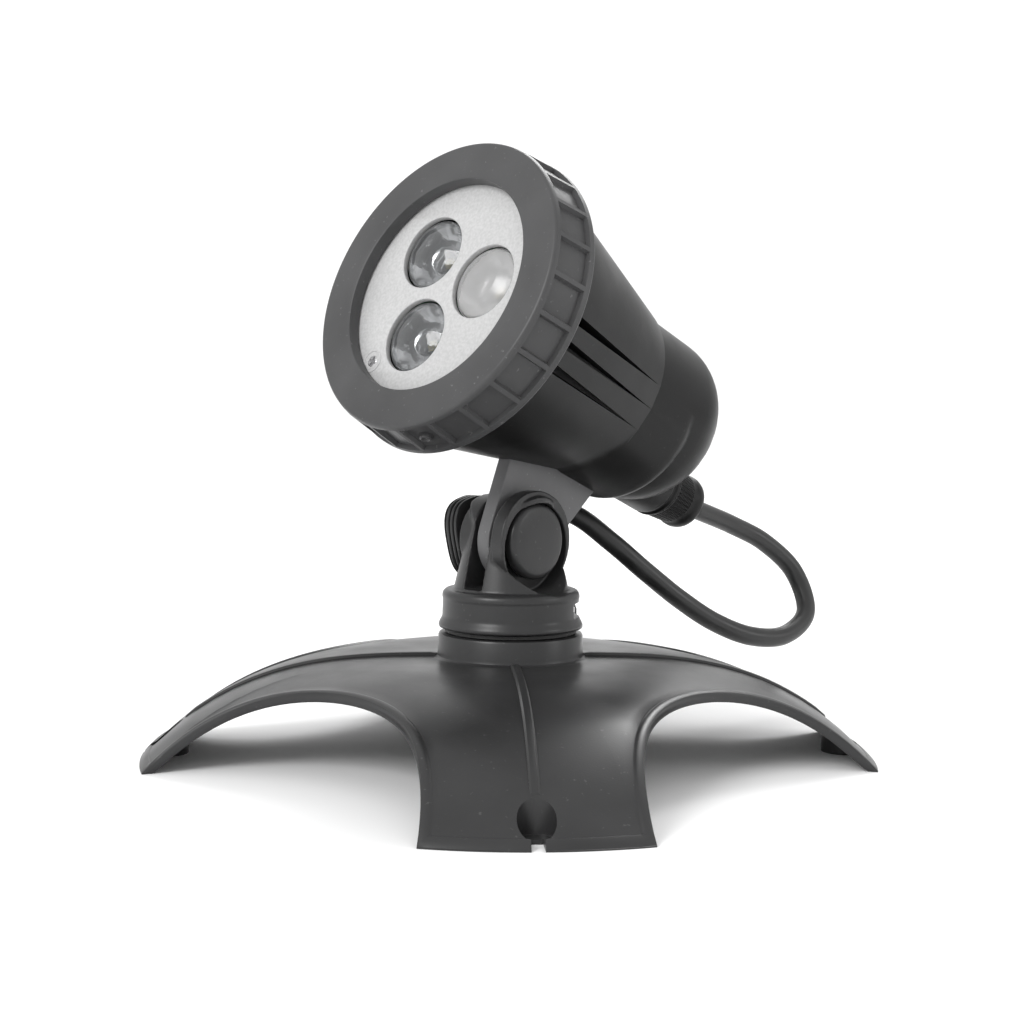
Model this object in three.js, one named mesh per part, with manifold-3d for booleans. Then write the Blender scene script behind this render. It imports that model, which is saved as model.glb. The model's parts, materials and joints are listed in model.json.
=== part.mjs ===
// Underwater pond light: a three-lens spot on a tilting, swivelling fork, over a four-legged base,
// with its lead folded into a hank behind it.
// Millimetres, +Z up. The origin is on the floor, on the swivel axis. A leg points along -Y.
import * as THREE from 'three';
import { mergeVertices } from 'three/addons/utils/BufferGeometryUtils.js';
import Module from 'manifold-3d';

const wasm = await Module();
wasm.setup();

// ---------------------------------------------------------------- driving dimensions
const FIT = 0.3; // gap between touching pieces
const LEGS = 4;
const BASE_RADIUS = 90; // swivel axis to leg tip
const DOME_HEIGHT = 24.2; // top of the base's skin, at the collar
const DOME_POWER = 3.1; // how late the skin bends down to the tip
const SKIN = 2; // thickness of the base's skin
const CUT_DISTANCE = 109.6; // swivel axis to the centre of a round cut-out between two legs
const CUT_RADIUS = 54.6;
const COLLAR_RADIUS = 17.9; // base collar
const COLLAR_TOP = 30.2;
const HUB_BORE = 8.4; // the fork's post turns in it
const SCREW_HOLE = 3.3; // holes and bores round the 5.8 mm shanks
const SHANK = 2.9;
const POCKET_RADIUS = 4; // screw pocket in each leg tip
const POCKET_INSET = 5.6; // leg tip to pocket centre
const SLOT_WIDTH = 2.8;
const SWIVEL_ANGLE = -47; // degrees, where the lamp points at rest, from the front leg
const TILT_ANGLE = 22; // degrees, how far the lamp looks up at rest
const PIVOT_HEIGHT = 53.2; // tilt axis above the floor
const CHEEK_GAP = 3; // half the gap between the fork's cheeks
const CHEEK_OUTER = 8.4; // outer faces of the cheeks, from the middle
const CHEEK_RADIUS = 12.4; // rounded cheek heads
const DISC_RADIUS = 9.3; // pivot bolt's flat head
const LUG_HALF = 2; // half the thickness of the tilt bracket
const LUG_RADIUS = 10.3;
const FACE_AHEAD = 49; // bezel's front face, ahead of the tilt axis
const AXIS_ABOVE = 46.5; // lamp axis, above the tilt axis
const BEZEL_INNER = 26.8;
const BEZEL_FRONT = 36.3; // outer radius of the bezel's front face
const BEZEL_REAR = 38;
const BEZEL_DEPTH = 12.4;
const BEZEL_PANELS = 24;
const PLATE_DEPTH = 3.6; // face plate's front, behind the bezel's face
const LENS_CIRCLE = 12.5;
const LENS_RADIUS = 8.9;
const LENS_ANGLES = [7, 127, 247];
const CONE_FRONT = 35; // housing radius just behind the bezel
const CONE_END = 60; // where the cone meets the rear barrel, behind the bezel's face
const CONE_REAR = 24.4;
const BARREL = 23; // rear barrel's radius
const HOUSING_END = 97.5;
const END_ROUND = 15; // the housing's rounded rear edge
const WALL = 2.6;
const CHIN_DROP = 2.6; // the thicker lower half of the barrel
const CHIN_END = 80;
const GROOVES = 3; // cooling grooves in each flank
const GROOVE_PITCH = 6.1;
const GROOVE_WIDTH = 2.3;
const FLANK_ANGLE = -16; // middle groove, below the lamp's side
const GLAND_DROP = 14.5; // gland axis, below the lamp axis
const GLAND_FRONT = 98;
const GLAND_LENGTH = 13.5;
const CORD = 5.4; // diameter
const CORD_SIDES = 10;
const HANK_LAYERS = 3;
const HANK_LENGTH = 96; // outside length of the folded cord
const HANK_HALF = 21.8; // half its outside width, two turns side by side
const HANK_INNER = 11; // half the space inside its turns
const HANK_LIFT = 0.9; // the tie's strap passes under the cord
const HANK_CENTRE = new THREE.Vector3(11.2, 166, 0);
const HANK_TURN = -3.8; // degrees
const PLUG_LENGTH = 42;

const rad = THREE.MathUtils.degToRad;
const vec2 = (x, y) => new THREE.Vector2(x, y);
const vec3 = (x, y, z) => new THREE.Vector3(x, y, z);

// ---------------------------------------------------------------- resting place of the lamp
const UP = vec3(0, 0, 1);
const ACROSS = vec3(1, 0, 0);
const HOOK = [7, 35.2, 60.2]; // where the cord comes over, at rest
const HOOK_ALONG = vec3(-0.97, 0.02, -0.24).normalize(); // the cord's direction there
const HOOK_HALF = 1.6;

const lampToRest = (v) => v.clone()
  .add(vec3(0, -FACE_AHEAD, AXIS_ABOVE))
  .applyAxisAngle(ACROSS, rad(-TILT_ANGLE))
  .add(vec3(0, 0, PIVOT_HEIGHT))
  .applyAxisAngle(UP, rad(SWIVEL_ANGLE));

const restToLamp = (v) => v.clone()
  .applyAxisAngle(UP, rad(-SWIVEL_ANGLE))
  .sub(vec3(0, 0, PIVOT_HEIGHT))
  .applyAxisAngle(ACROSS, rad(TILT_ANGLE))
  .sub(vec3(0, -FACE_AHEAD, AXIS_ABOVE));

// ---------------------------------------------------------------- materials
const plastic = (color, roughness = 0.5) => () =>
  new THREE.MeshStandardMaterial({ color, roughness, metalness: 0 });
const metal = (color, roughness = 0.35) => () =>
  new THREE.MeshStandardMaterial({ color, roughness, metalness: 1 });
const CHARCOAL = plastic(0x3c3c3e, 0.45);
const BLACK = plastic(0x242426, 0.55);
const GREY = plastic(0x6b6b6d, 0.6);
const RUBBER = plastic(0x18181a, 0.8);
const PLATE = plastic(0xc4c4c4, 0.55);
const CLEAR = plastic(0xdfe6ea, 0.08);
const CIRCUIT = plastic(0x2f5f3a, 0.5);
const EMITTER = plastic(0xe8d66a, 0.4);
const STEEL = metal(0xb9bcc0);
const BRASS = metal(0xb8953f);
const ALUMINIUM = metal(0xa8abae, 0.45);

// ---------------------------------------------------------------- solids
function solid(geometry) {
  const bare = geometry.clone();
  bare.deleteAttribute('normal');
  bare.deleteAttribute('uv');
  const merged = mergeVertices(bare, 1e-4);
  return new wasm.Manifold(
    new wasm.Mesh({
      numProp: 3,
      vertProperties: new Float32Array(merged.attributes.position.array),
      triVerts: new Uint32Array(merged.index.array),
    }),
  );
}

function surface(manifold) {
  const mesh = manifold.getMesh();
  const geometry = new THREE.BufferGeometry();
  geometry.setAttribute('position', new THREE.BufferAttribute(mesh.vertProperties, 3));
  geometry.setIndex(new THREE.BufferAttribute(mesh.triVerts, 1));
  return geometry;
}

const union = (parts) => parts.reduce((whole, part) => whole.add(part));

// A closed profile of [radius, height] pairs, turned about +Z.
function turned(profile, segments = 36) {
  const closed = [...profile, profile[0]].map(([r, z]) => vec2(r, z));
  const geometry = new THREE.LatheGeometry(closed, segments);
  geometry.rotateX(Math.PI / 2);
  return areaOf(profile) < 0 ? flipped(geometry) : geometry;
}

const areaOf = (p) =>
  p.reduce((sum, [x, y], i) => {
    const [u, v] = p[(i + 1) % p.length];
    return sum + (x * v - u * y) / 2;
  }, 0);

function flipped(geometry) {
  const index = geometry.index.array;
  for (let i = 0; i < index.length; i += 3) [index[i], index[i + 1]] = [index[i + 1], index[i]];
  return geometry;
}

// The same profile turned about +Y, for pieces on the lamp axis; heights run backwards from the face.
const turnedY = (profile, segments) => turned(profile, segments).rotateX(-Math.PI / 2);

const ring = (inner, outer, low, high) => [
  [inner, low],
  [outer, low],
  [outer, high],
  [inner, high],
];

const rod = (radius, low, high) => [
  [0, low],
  [radius, low],
  [radius, high],
  [0, high],
];

const drum = (radius, low, high, segments = 32) => solid(turned(rod(radius, low, high), segments));
const alongX = (manifold) => manifold.rotate([0, 90, 0]);
const alongY = (manifold) => manifold.rotate([-90, 0, 0]);

function block(x0, x1, y0, y1, z0, z1) {
  const box = new THREE.BoxGeometry(x1 - x0, y1 - y0, z1 - z0);
  return solid(box.translate((x0 + x1) / 2, (y0 + y1) / 2, (z0 + z1) / 2));
}

// A flat outline pushed out along +Z.
const pushed = (shape, depth, curveSegments = 16) =>
  new THREE.ExtrudeGeometry(shape, { depth, bevelEnabled: false, curveSegments });

function piece(name, geometry, material) {
  const mesh = new THREE.Mesh(geometry, material());
  mesh.name = name;
  return mesh;
}

const made = (name, manifold, material) => piece(name, surface(manifold), material);

// ---------------------------------------------------------------- base
const skinHeight = (r) => {
  const t = Math.max(0, (r - COLLAR_RADIUS) / (BASE_RADIUS - COLLAR_RADIUS));
  return DOME_HEIGHT * (1 - t ** DOME_POWER);
};

// Thickness measured straight up grows where the skin is steep.
function skinDrop(r) {
  const slope = skinHeight(r - 0.5) - skinHeight(r + 0.5);
  return SKIN * Math.hypot(1, slope);
}

function domeProfile() {
  const radii = [];
  for (let t = 0; t <= 1.0001; t += 0.125) {
    radii.push(COLLAR_RADIUS + (BASE_RADIUS - COLLAR_RADIUS) * t ** 0.8);
  }
  const top = radii.map((r) => [r, Math.max(0, skinHeight(r))]);
  const under = radii
    .map((r) => [r, skinHeight(r) - skinDrop(r)])
    .filter(([, z]) => z > 0.6)
    .reverse();
  const foot = BASE_RADIUS - 2.9;
  const web = DOME_HEIGHT - 3;
  return [[SCREW_HOLE, DOME_HEIGHT], ...top, [foot, 0], ...under, [SCREW_HOLE, web]];
}

function legCuts() {
  const cuts = [];
  for (let i = 0; i < LEGS; i += 1) {
    const angle = rad(45 + (360 / LEGS) * i);
    const cut = drum(CUT_RADIUS, -1, DOME_HEIGHT + 9, 48);
    cuts.push(cut.translate([CUT_DISTANCE * Math.cos(angle), CUT_DISTANCE * Math.sin(angle), 0]));
  }
  return union(cuts);
}

// What is under the skin's outer surface, so that bosses and pocket walls stay below it.
function underSkin() {
  const profile = [[0, 0]];
  for (let r = 0; r <= BASE_RADIUS; r += 10) profile.push([r, skinHeight(r) - 0.1]);
  return solid(turned(profile, 40));
}

function legPockets() {
  const walls = [];
  const holes = [];
  for (let i = 0; i < LEGS; i += 1) {
    const turn = [0, 0, (360 / LEGS) * i];
    const at = [0, -(BASE_RADIUS - POCKET_INSET), 0];
    walls.push(drum(POCKET_RADIUS + 1.2, 0, 12, 20).translate(at).rotate(turn));
    const pocket = drum(POCKET_RADIUS, 1, 20, 20).translate(at);
    const half = SLOT_WIDTH / 2;
    const slot = block(-half, half, -BASE_RADIUS - 2, at[1], -1, 20);
    holes.push(pocket.add(slot).rotate(turn));
  }
  return { walls: union(walls).intersect(underSkin()), holes: union(holes) };
}

// A low ridge on the skin, from the collar to each pocket.
function legRibs() {
  const ribs = [];
  const steps = 6;
  const inner = COLLAR_RADIUS - 1;
  const outer = BASE_RADIUS - POCKET_INSET - POCKET_RADIUS - 1;
  const ridge = new THREE.Shape();
  for (let i = 0; i <= steps; i += 1) {
    const r = inner + ((outer - inner) * i) / steps;
    if (i === 0) ridge.moveTo(r, skinHeight(r) + 0.9);
    else ridge.lineTo(r, skinHeight(r) + 0.9 - (0.6 * i) / steps);
  }
  for (let i = steps; i >= 0; i -= 1) {
    const r = inner + ((outer - inner) * i) / steps;
    ridge.lineTo(r, skinHeight(r) - 1);
  }
  const width = 2.2;
  const upright = solid(pushed(ridge, width)).translate([0, 0, -width / 2]).rotate([90, 0, 0]);
  for (let i = 0; i < LEGS; i += 1) ribs.push(upright.rotate([0, 0, (360 / LEGS) * i]));
  return union(ribs);
}

function basePlate() {
  const skin = solid(turned(domeProfile(), 48));
  const collar = solid(turned([
    [HUB_BORE, DOME_HEIGHT - 1],
    [COLLAR_RADIUS + 0.3, DOME_HEIGHT - 1],
    [COLLAR_RADIUS, DOME_HEIGHT + 1.5],
    [COLLAR_RADIUS, COLLAR_TOP - 0.6],
    [COLLAR_RADIUS - 0.6, COLLAR_TOP],
    [HUB_BORE, COLLAR_TOP],
  ], 40));
  const pockets = legPockets();
  const whole = union([skin.subtract(legCuts()), collar, legRibs(), pockets.walls]);
  return made('base_plate', whole.subtract(pockets.holes), CHARCOAL);
}

function swivelSeal() {
  const profile = ring(HUB_BORE + 1, 16.4, COLLAR_TOP + FIT, COLLAR_TOP + 1.1);
  return piece('swivel_seal', turned(profile), RUBBER);
}

// ---------------------------------------------------------------- fork
const FORK_FOOT = COLLAR_TOP + 1.4;
const FORK_TOP = 41; // where the cheeks rise from the fork's collar
const POST_FOOT = DOME_HEIGHT + FIT;

function forkCollar() {
  return solid(turned([
    [0, POST_FOOT],
    [HUB_BORE - 0.4, POST_FOOT],
    [HUB_BORE - 0.4, FORK_FOOT],
    [COLLAR_RADIUS, FORK_FOOT],
    [COLLAR_RADIUS, FORK_FOOT + 0.9],
    [17, FORK_FOOT + 2.6],
    [16.8, FORK_TOP - 1.6],
    [16.3, FORK_TOP - 0.5],
    [15.2, FORK_TOP],
    [0, FORK_TOP],
  ], 40));
}

// The tapered cone that the two cheeks are halves of, with its rounded top.
function cheekCone() {
  const cone = solid(turned([
    [0, FORK_TOP - 1],
    [14.5, FORK_TOP - 1],
    [12.3, 49.5],
    [10.4, 57],
    [10.2, PIVOT_HEIGHT + CHEEK_RADIUS],
    [0, PIVOT_HEIGHT + CHEEK_RADIUS],
  ], 36));
  const head = alongX(drum(11, -20, 20, 36)).translate([0, 0, PIVOT_HEIGHT]);
  const below = block(-20, 20, -20, 20, FORK_TOP - 2, PIVOT_HEIGHT);
  return cone.intersect(head.add(below));
}

function cheekHeads() {
  const inner = CHEEK_GAP + 1.6;
  const right = alongX(drum(CHEEK_RADIUS, inner, CHEEK_OUTER, 40));
  const left = alongX(drum(CHEEK_RADIUS - 2.4, -CHEEK_OUTER, -inner, 40));
  return right.add(left).translate([0, 0, PIVOT_HEIGHT]);
}

function swivelFork() {
  const body = union([forkCollar(), cheekCone(), cheekHeads()]);
  const slot = block(-CHEEK_GAP, CHEEK_GAP, -22, 22, FORK_TOP + 0.6, 80);
  const recess = alongX(drum(DISC_RADIUS + 1.7, 5.2, 20, 36)).translate([0, 0, PIVOT_HEIGHT - 1.4]);
  const knobSide = alongX(drum(12.1, -30, -CHEEK_OUTER, 36)).translate([0, 0, PIVOT_HEIGHT]);
  const pivot = alongX(drum(SCREW_HOLE, -20, 20, 20)).translate([0, 0, PIVOT_HEIGHT]);
  const thread = drum(SCREW_HOLE, 20, 37.5, 20);
  const detent = block(15.2, 20, -7, 7, 34.4, 38).rotate([0, 0, 44]);
  const cuts = union([slot, recess, knobSide, pivot, thread, detent]);
  return made('swivel_fork', body.subtract(cuts), CHARCOAL);
}

function swivelScrew() {
  const underside = DOME_HEIGHT - 3;
  const head = drum(5.6, underside - 5.6, underside - 1.9, 24);
  const socket = drum(2.4, underside - 6, underside - 3.6, 6);
  const shank = drum(SHANK, underside - 2.4, 37, 20);
  return made('swivel_screw', head.add(shank).subtract(socket), STEEL);
}

function swivelWasher() {
  const top = DOME_HEIGHT - 3 - FIT;
  return piece('swivel_washer', turned(ring(SCREW_HOLE, 8, top - 1.2, top)), STEEL);
}

function pivotBolt() {
  const back = 6;
  const disc = solid(turned([
    [0, back],
    [DISC_RADIUS - 0.5, back],
    [DISC_RADIUS, back + 0.7],
    [DISC_RADIUS, back + 2.2],
    [DISC_RADIUS - 0.8, back + 3],
    [DISC_RADIUS * 0.6, back + 3.5],
    [0, back + 3.8],
  ], 36));
  const whole = disc.add(drum(SHANK, -15.6, back + 1, 20));
  return made('pivot_bolt', alongX(whole), CHARCOAL);
}

// ---------------------------------------------------------------- clamp knob
const KNOB_INNER = -(CHEEK_OUTER + 1.6);
const KNOB_WIDTH = 6;
const KNOB_LONG = 10.2; // half its length across, a stubby bar with rounded ends
const KNOB_SHORT = 7.4;
const KNOB_TURN = 15; // degrees, how far the bar leans at rest

function clampKnob() {
  const outline = new THREE.Shape();
  const steps = 40;
  const bulge = (value) => Math.sign(value) * Math.abs(value) ** 0.7;
  for (let i = 0; i < steps; i += 1) {
    const angle = (2 * Math.PI * i) / steps;
    const x = KNOB_LONG * bulge(Math.cos(angle));
    const y = KNOB_SHORT * bulge(Math.sin(angle));
    if (i === 0) outline.moveTo(x, y);
    else outline.lineTo(x, y);
  }
  const grip = solid(pushed(outline, KNOB_WIDTH - 1.5)).translate([0, 0, -KNOB_WIDTH]);
  const neck = drum(6.9, -KNOB_WIDTH + 1, 0, 30);
  const bore = drum(4.6, -KNOB_WIDTH + 1.6, 1, 6).add(drum(SCREW_HOLE, -20, 1, 20));
  const whole = grip.add(neck).subtract(bore).rotate([0, 0, KNOB_TURN]);
  return made('clamp_knob', alongX(whole).translate([KNOB_INNER, 0, 0]), CHARCOAL);
}

function knobInsert() {
  const nut = drum(4.3, -KNOB_WIDTH + 2, -1.2, 6).subtract(drum(SCREW_HOLE, -9, 1, 20));
  return made('knob_insert', alongX(nut.rotate([0, 0, KNOB_TURN])).translate([KNOB_INNER, 0, 0]), BRASS);
}

function knobWasher() {
  const washer = drum(6.5, FIT, 1.3, 24).subtract(drum(SCREW_HOLE, -1, 2, 20));
  return made('knob_washer', alongX(washer).translate([KNOB_INNER, 0, 0]), STEEL);
}

// ---------------------------------------------------------------- tilt bracket
const coneRadius = (a) => CONE_FRONT
  - ((CONE_FRONT - CONE_REAR) * (a - BEZEL_DEPTH)) / (CONE_END - BEZEL_DEPTH);

// The underside of the housing in the bracket's plane, as height above the tilt axis at y.
const undersideAt = (y) => {
  const a = y + FACE_AHEAD;
  return AXIS_ABOVE - (a < CONE_END ? coneRadius(a) : BARREL + CHIN_DROP);
};

function tiltBracket() {
  const flare = 23;
  const outline = new THREE.Shape();
  outline.moveTo(-LUG_RADIUS, 0);
  outline.absarc(0, 0, LUG_RADIUS, Math.PI, 1.83 * Math.PI, false);
  outline.lineTo(flare, undersideAt(flare) - FIT);
  outline.lineTo(CONE_END - FACE_AHEAD + FIT, undersideAt(CONE_END - FACE_AHEAD + FIT) - FIT);
  outline.lineTo(CONE_END - FACE_AHEAD, undersideAt(CONE_END - FACE_AHEAD - 0.1) - FIT - 1.3);
  outline.lineTo(-LUG_RADIUS, undersideAt(-LUG_RADIUS) - FIT);
  const plate = solid(pushed(outline, 2 * LUG_HALF, 20)).translate([0, 0, -LUG_HALF]);
  const upright = plate.rotate([90, 0, 90]);
  const hole = alongX(drum(SCREW_HOLE, -5, 5, 20));
  const threads = bracketScrewPlaces().map(([y, z, lean]) =>
    drum(1.4, -9, 2, 10).rotate([lean, 0, 0]).translate([0, y, z]));
  return made('tilt_bracket', upright.subtract(hole.add(union(threads))), GREY);
}

// Where the two screws pass the housing's lower wall: [y, z, lean about X].
function bracketScrewPlaces() {
  const slope = Math.atan2(CONE_FRONT - CONE_REAR, CONE_END - BEZEL_DEPTH);
  const lean = THREE.MathUtils.radToDeg(slope);
  return [-4, 6].map((y) => [y, undersideAt(y), lean]);
}

function bracketScrews() {
  return bracketScrewPlaces().map(([y, z, lean], i) => {
    const cap = drum(2.7, WALL + FIT, WALL + 2.2, 16);
    const screw = cap.add(drum(1.1, -7.5, WALL + 1, 10)).rotate([lean, 0, 0]);
    return made(`bracket_screw_${i + 1}`, screw.translate([0, y, z]), STEEL);
  });
}

// ---------------------------------------------------------------- lamp housing
// Everything on the lamp axis is turned about +Y, with y = 0 at the bezel's front face.
function roundedEnd(radius, end, round, steps = 5) {
  const points = [];
  for (let i = 0; i <= steps; i += 1) {
    const t = (Math.PI / 2) * (i / steps);
    points.push([radius - round + round * Math.cos(t), end - round + round * Math.sin(t)]);
  }
  return points;
}

function housingOutside() {
  const spigot = 31.6;
  const body = solid(turnedY([
    [0, 7.8],
    [spigot, 7.8],
    [spigot, BEZEL_DEPTH + FIT],
    [CONE_FRONT, BEZEL_DEPTH + FIT],
    [CONE_REAR, CONE_END],
    [BARREL + 0.4, CONE_END + 0.4],
    ...roundedEnd(BARREL, HOUSING_END, END_ROUND),
    [0, HOUSING_END],
  ], 48));
  const chin = solid(turnedY([
    [0, CONE_END - 4],
    [BARREL, CONE_END - 4],
    ...roundedEnd(BARREL, CHIN_END, 4, 2),
    [0, CHIN_END],
  ], 40)).translate([0, 0, -CHIN_DROP]);
  const boss = alongY(drum(8.4, CHIN_END - 12, GLAND_FRONT - FIT, 28)).translate([0, 0, -GLAND_DROP]);
  return union([body, chin, boss, cordHook()]);
}

// A moulded hook under the barrel's far side, where the cord comes over behind the fork.
function cordHook() {
  const at = restToLamp(vec3(...HOOK));
  const along = restToLamp(vec3(...HOOK).add(HOOK_ALONG)).sub(at);
  const bore = CORD / 2 + 0.9;
  const hoop = pushed(hookOutline(bore, bore + 1.8), 2 * HOOK_HALF, 16).translate(0, 0, -HOOK_HALF);
  const inward = vec3(-at.x, 0, -at.z).normalize();
  const up = inward.addScaledVector(along, -along.dot(inward)).normalize();
  const frame = new THREE.Matrix4().makeBasis(up.clone().cross(along), up, along).setPosition(at);
  return solid(hoop.applyMatrix4(frame));
}

// A hoop open at one side, with an arm going up into the housing's wall.
function hookOutline(inner, outer) {
  const outline = new THREE.Shape();
  const [open, arm, reach] = [rad(200), rad(62), 20];
  outline.absarc(0, 0, outer, open, rad(360) + arm, false);
  outline.lineTo(outer * Math.cos(arm), reach);
  outline.lineTo(-outer * Math.cos(arm), reach);
  outline.absarc(0, 0, outer, Math.PI - arm, rad(140), false);
  outline.absarc(0, 0, inner, rad(140), rad(-160), true);
  return outline;
}

// Three tapering grooves side by side; grown by `skin`, the material left round them inside.
function grooveBank(side, skin = 0) {
  const length = CONE_END - BEZEL_DEPTH - 0.6;
  const floor = 28.5 - skin;
  const cuts = [];
  for (let i = 0; i < GROOVES; i += 1) {
    const half = GROOVE_WIDTH / 2 + skin;
    const tip = skin + 0.12;
    const wedge = new THREE.Shape([
      vec2(-1, -half),
      vec2(length + skin, -tip),
      vec2(length + skin, tip),
      vec2(-1, half),
    ]);
    const deep = solid(pushed(wedge, 16)).rotate([90, 0, 90]);
    const offset = (i - (GROOVES - 1) / 2) * GROOVE_PITCH;
    cuts.push(deep.translate([0, 0, offset]));
  }
  const bank = union(cuts).rotate([0, 0, 5.6]).translate([floor, BEZEL_DEPTH + FIT, 0]);
  const turnedBank = bank.rotate([0, -FLANK_ANGLE, 0]);
  return side > 0 ? turnedBank : turnedBank.mirror([1, 0, 0]);
}

function housingInside() {
  const cavity = solid(turnedY([
    [0, 7],
    [28.6, 7],
    [28.6, 14],
    [CONE_FRONT - WALL - 1, 16],
    [CONE_REAR - WALL, CONE_END],
    [BARREL - WALL, CONE_END + 2],
    ...roundedEnd(BARREL - WALL, HOUSING_END - WALL, END_ROUND - WALL, 3),
    [0, HOUSING_END - WALL],
  ], 36));
  return cavity.subtract(grooveBank(1, 1.8).add(grooveBank(-1, 1.8)));
}

function housing() {
  const gland = alongY(drum(CORD / 2 + 0.6, 70, 110, 18)).translate([0, 0, -GLAND_DROP]);
  const screws = bracketScrewPlaces().map(([y, z, lean]) =>
    drum(1.5, -4, 6, 10).rotate([lean, 0, 0]).translate([0, y + FACE_AHEAD, z - AXIS_ABOVE]));
  const cuts = union([housingInside(), grooveBank(1), grooveBank(-1), gland, ...screws]);
  return made('housing', housingOutside().subtract(cuts), BLACK);
}

function bezelRing() {
  const lip = PLATE_DEPTH - FIT;
  const wall = 32.1;
  const body = solid(turnedY([
    [BEZEL_INNER + 0.3, 0],
    [BEZEL_FRONT - 0.6, 0],
    [BEZEL_FRONT, 0.7],
    [BEZEL_REAR, BEZEL_DEPTH - 1.2],
    [BEZEL_REAR, BEZEL_DEPTH - 0.3],
    [BEZEL_REAR - 0.4, BEZEL_DEPTH],
    [wall, BEZEL_DEPTH],
    [wall, lip],
    [BEZEL_INNER, lip],
    [BEZEL_INNER, 0.4],
  ], 48));
  const panels = [];
  const width = (2 * Math.PI * BEZEL_REAR) / BEZEL_PANELS - 1.6;
  for (let i = 0; i < BEZEL_PANELS; i += 1) {
    const panel = block(BEZEL_FRONT - 0.4, BEZEL_REAR + 4, 1.6, 10.6, -width / 2, width / 2);
    panels.push(panel.rotate([0, (360 / BEZEL_PANELS) * (i + 0.5) + 12.4, 0]));
  }
  return made('bezel_ring', body.subtract(union(panels)), GREY);
}

function frontSeal() {
  const r = 29.8;
  return piece('front_seal', turnedY(ring(r - 1, r + 1, PLATE_DEPTH + 2.1, 7.5), 40), RUBBER);
}

const lensPlace = (degrees) => [
  LENS_CIRCLE * Math.cos(rad(degrees)),
  0,
  LENS_CIRCLE * Math.sin(rad(degrees)),
];
const FACE_SCREW = [-16.9, 0, -18.2];

function facePlate() {
  const plate = alongY(drum(31.2, PLATE_DEPTH, PLATE_DEPTH + 1.6, 48));
  const holes = LENS_ANGLES.map((angle) =>
    alongY(drum(LENS_RADIUS + FIT, 0, 9, 28)).translate(lensPlace(angle)));
  const screw = alongY(drum(1.3, 0, 9, 12)).translate(FACE_SCREW);
  const sunk = alongY(drum(2.3, 0, PLATE_DEPTH + 0.9, 16)).translate(FACE_SCREW);
  return made('face_plate', plate.subtract(union([...holes, screw, sunk])), PLATE);
}

function faceScrew() {
  const head = alongY(drum(2, PLATE_DEPTH, PLATE_DEPTH + 0.6, 16));
  const shank = alongY(drum(1, PLATE_DEPTH + 0.3, 12.5, 10));
  const cross = block(-1.3, 1.3, 0, PLATE_DEPTH + 0.3, -0.3, 0.3);
  const whole = head.add(shank).subtract(cross.add(cross.rotate([0, 90, 0])));
  return made('face_screw', whole.translate(FACE_SCREW), STEEL);
}

function lens(number, angle) {
  const profile = [
    [0, 2.2],
    [3.2, 2.5],
    [6, 3.3],
    [LENS_RADIUS - 0.5, 4.4],
    [LENS_RADIUS, 5],
    [LENS_RADIUS, 6.2],
    [7.4, 6.6],
    [4.4, 11.4],
    [3, 11.4],
    [2.6, 9.6],
    [0, 9.2],
  ];
  const mesh = piece(`lens_${number}`, turnedY(profile, 24), CLEAR);
  mesh.position.set(...lensPlace(angle));
  return mesh;
}

function led(number, angle) {
  const base = alongY(drum(2.1, 11.8, 12.8, 12));
  const dome = solid(turnedY([[0, 10.2], [1, 10.5], [1.5, 11.2], [1.5, 12], [0, 12]], 12));
  const mesh = made(`led_${number}`, base.add(dome), EMITTER);
  mesh.position.set(...lensPlace(angle));
  return mesh;
}

function ledBoard() {
  const board = alongY(drum(25, 13.1, 14.7, 40));
  const hole = alongY(drum(1.3, 10, 20, 10)).translate(FACE_SCREW);
  return made('led_board', board.subtract(hole), CIRCUIT);
}

function heatSink() {
  const disc = alongY(drum(24, 15, 18, 40));
  const core = alongY(drum(9, 17, 38, 24));
  const fins = [];
  for (let i = 0; i < 8; i += 1) fins.push(block(8, 20, 17, 32, -0.8, 0.8).rotate([0, 45 * i, 0]));
  return made('heat_sink', union([disc, core, ...fins]), ALUMINIUM);
}

function driverBoard() {
  const board = block(-13, 13, 40, 76, 3.5, 5.1);
  const chips = [
    block(-9, 3, 44, 56, 5, 9.5),
    alongY(drum(3.4, 60, 71, 16)).translate([6, 0, 8]),
    block(-10, -4, 60, 70, 5, 8),
  ];
  return made('driver_board', union([board, ...chips]), CIRCUIT);
}

// ---------------------------------------------------------------- cable gland
function glandNut() {
  const end = GLAND_FRONT + GLAND_LENGTH;
  const profile = [
    [CORD / 2 + 1.9, GLAND_FRONT],
    [8, GLAND_FRONT],
    [8, GLAND_FRONT + 1],
    [7.7, GLAND_FRONT + 1.6],
    [7.1, end - 3.2],
    [7.5, end - 2.4],
    [7.4, end - 1],
    [6.2, end],
    [CORD / 2 + 0.9, end],
    [CORD / 2 + 0.9, end - 1.6],
    [CORD / 2 + 1.9, end - 2.6],
  ];
  const mesh = piece('gland_nut', turnedY(profile, 24), BLACK);
  mesh.position.z = -GLAND_DROP;
  return mesh;
}

function glandSeal() {
  const end = GLAND_FRONT + GLAND_LENGTH;
  const bore = CORD / 2 + FIT;
  const profile = [
    [bore, GLAND_FRONT + FIT],
    [bore + 1.2, GLAND_FRONT + FIT],
    [bore + 1.2, end - 3.4],
    [bore + 0.3, end - 2],
    [bore + 0.3, end + 1.2],
    [bore, end + 1.2],
  ];
  const mesh = piece('gland_seal', turnedY(profile, 20), RUBBER);
  mesh.position.z = -GLAND_DROP;
  return mesh;
}

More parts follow.
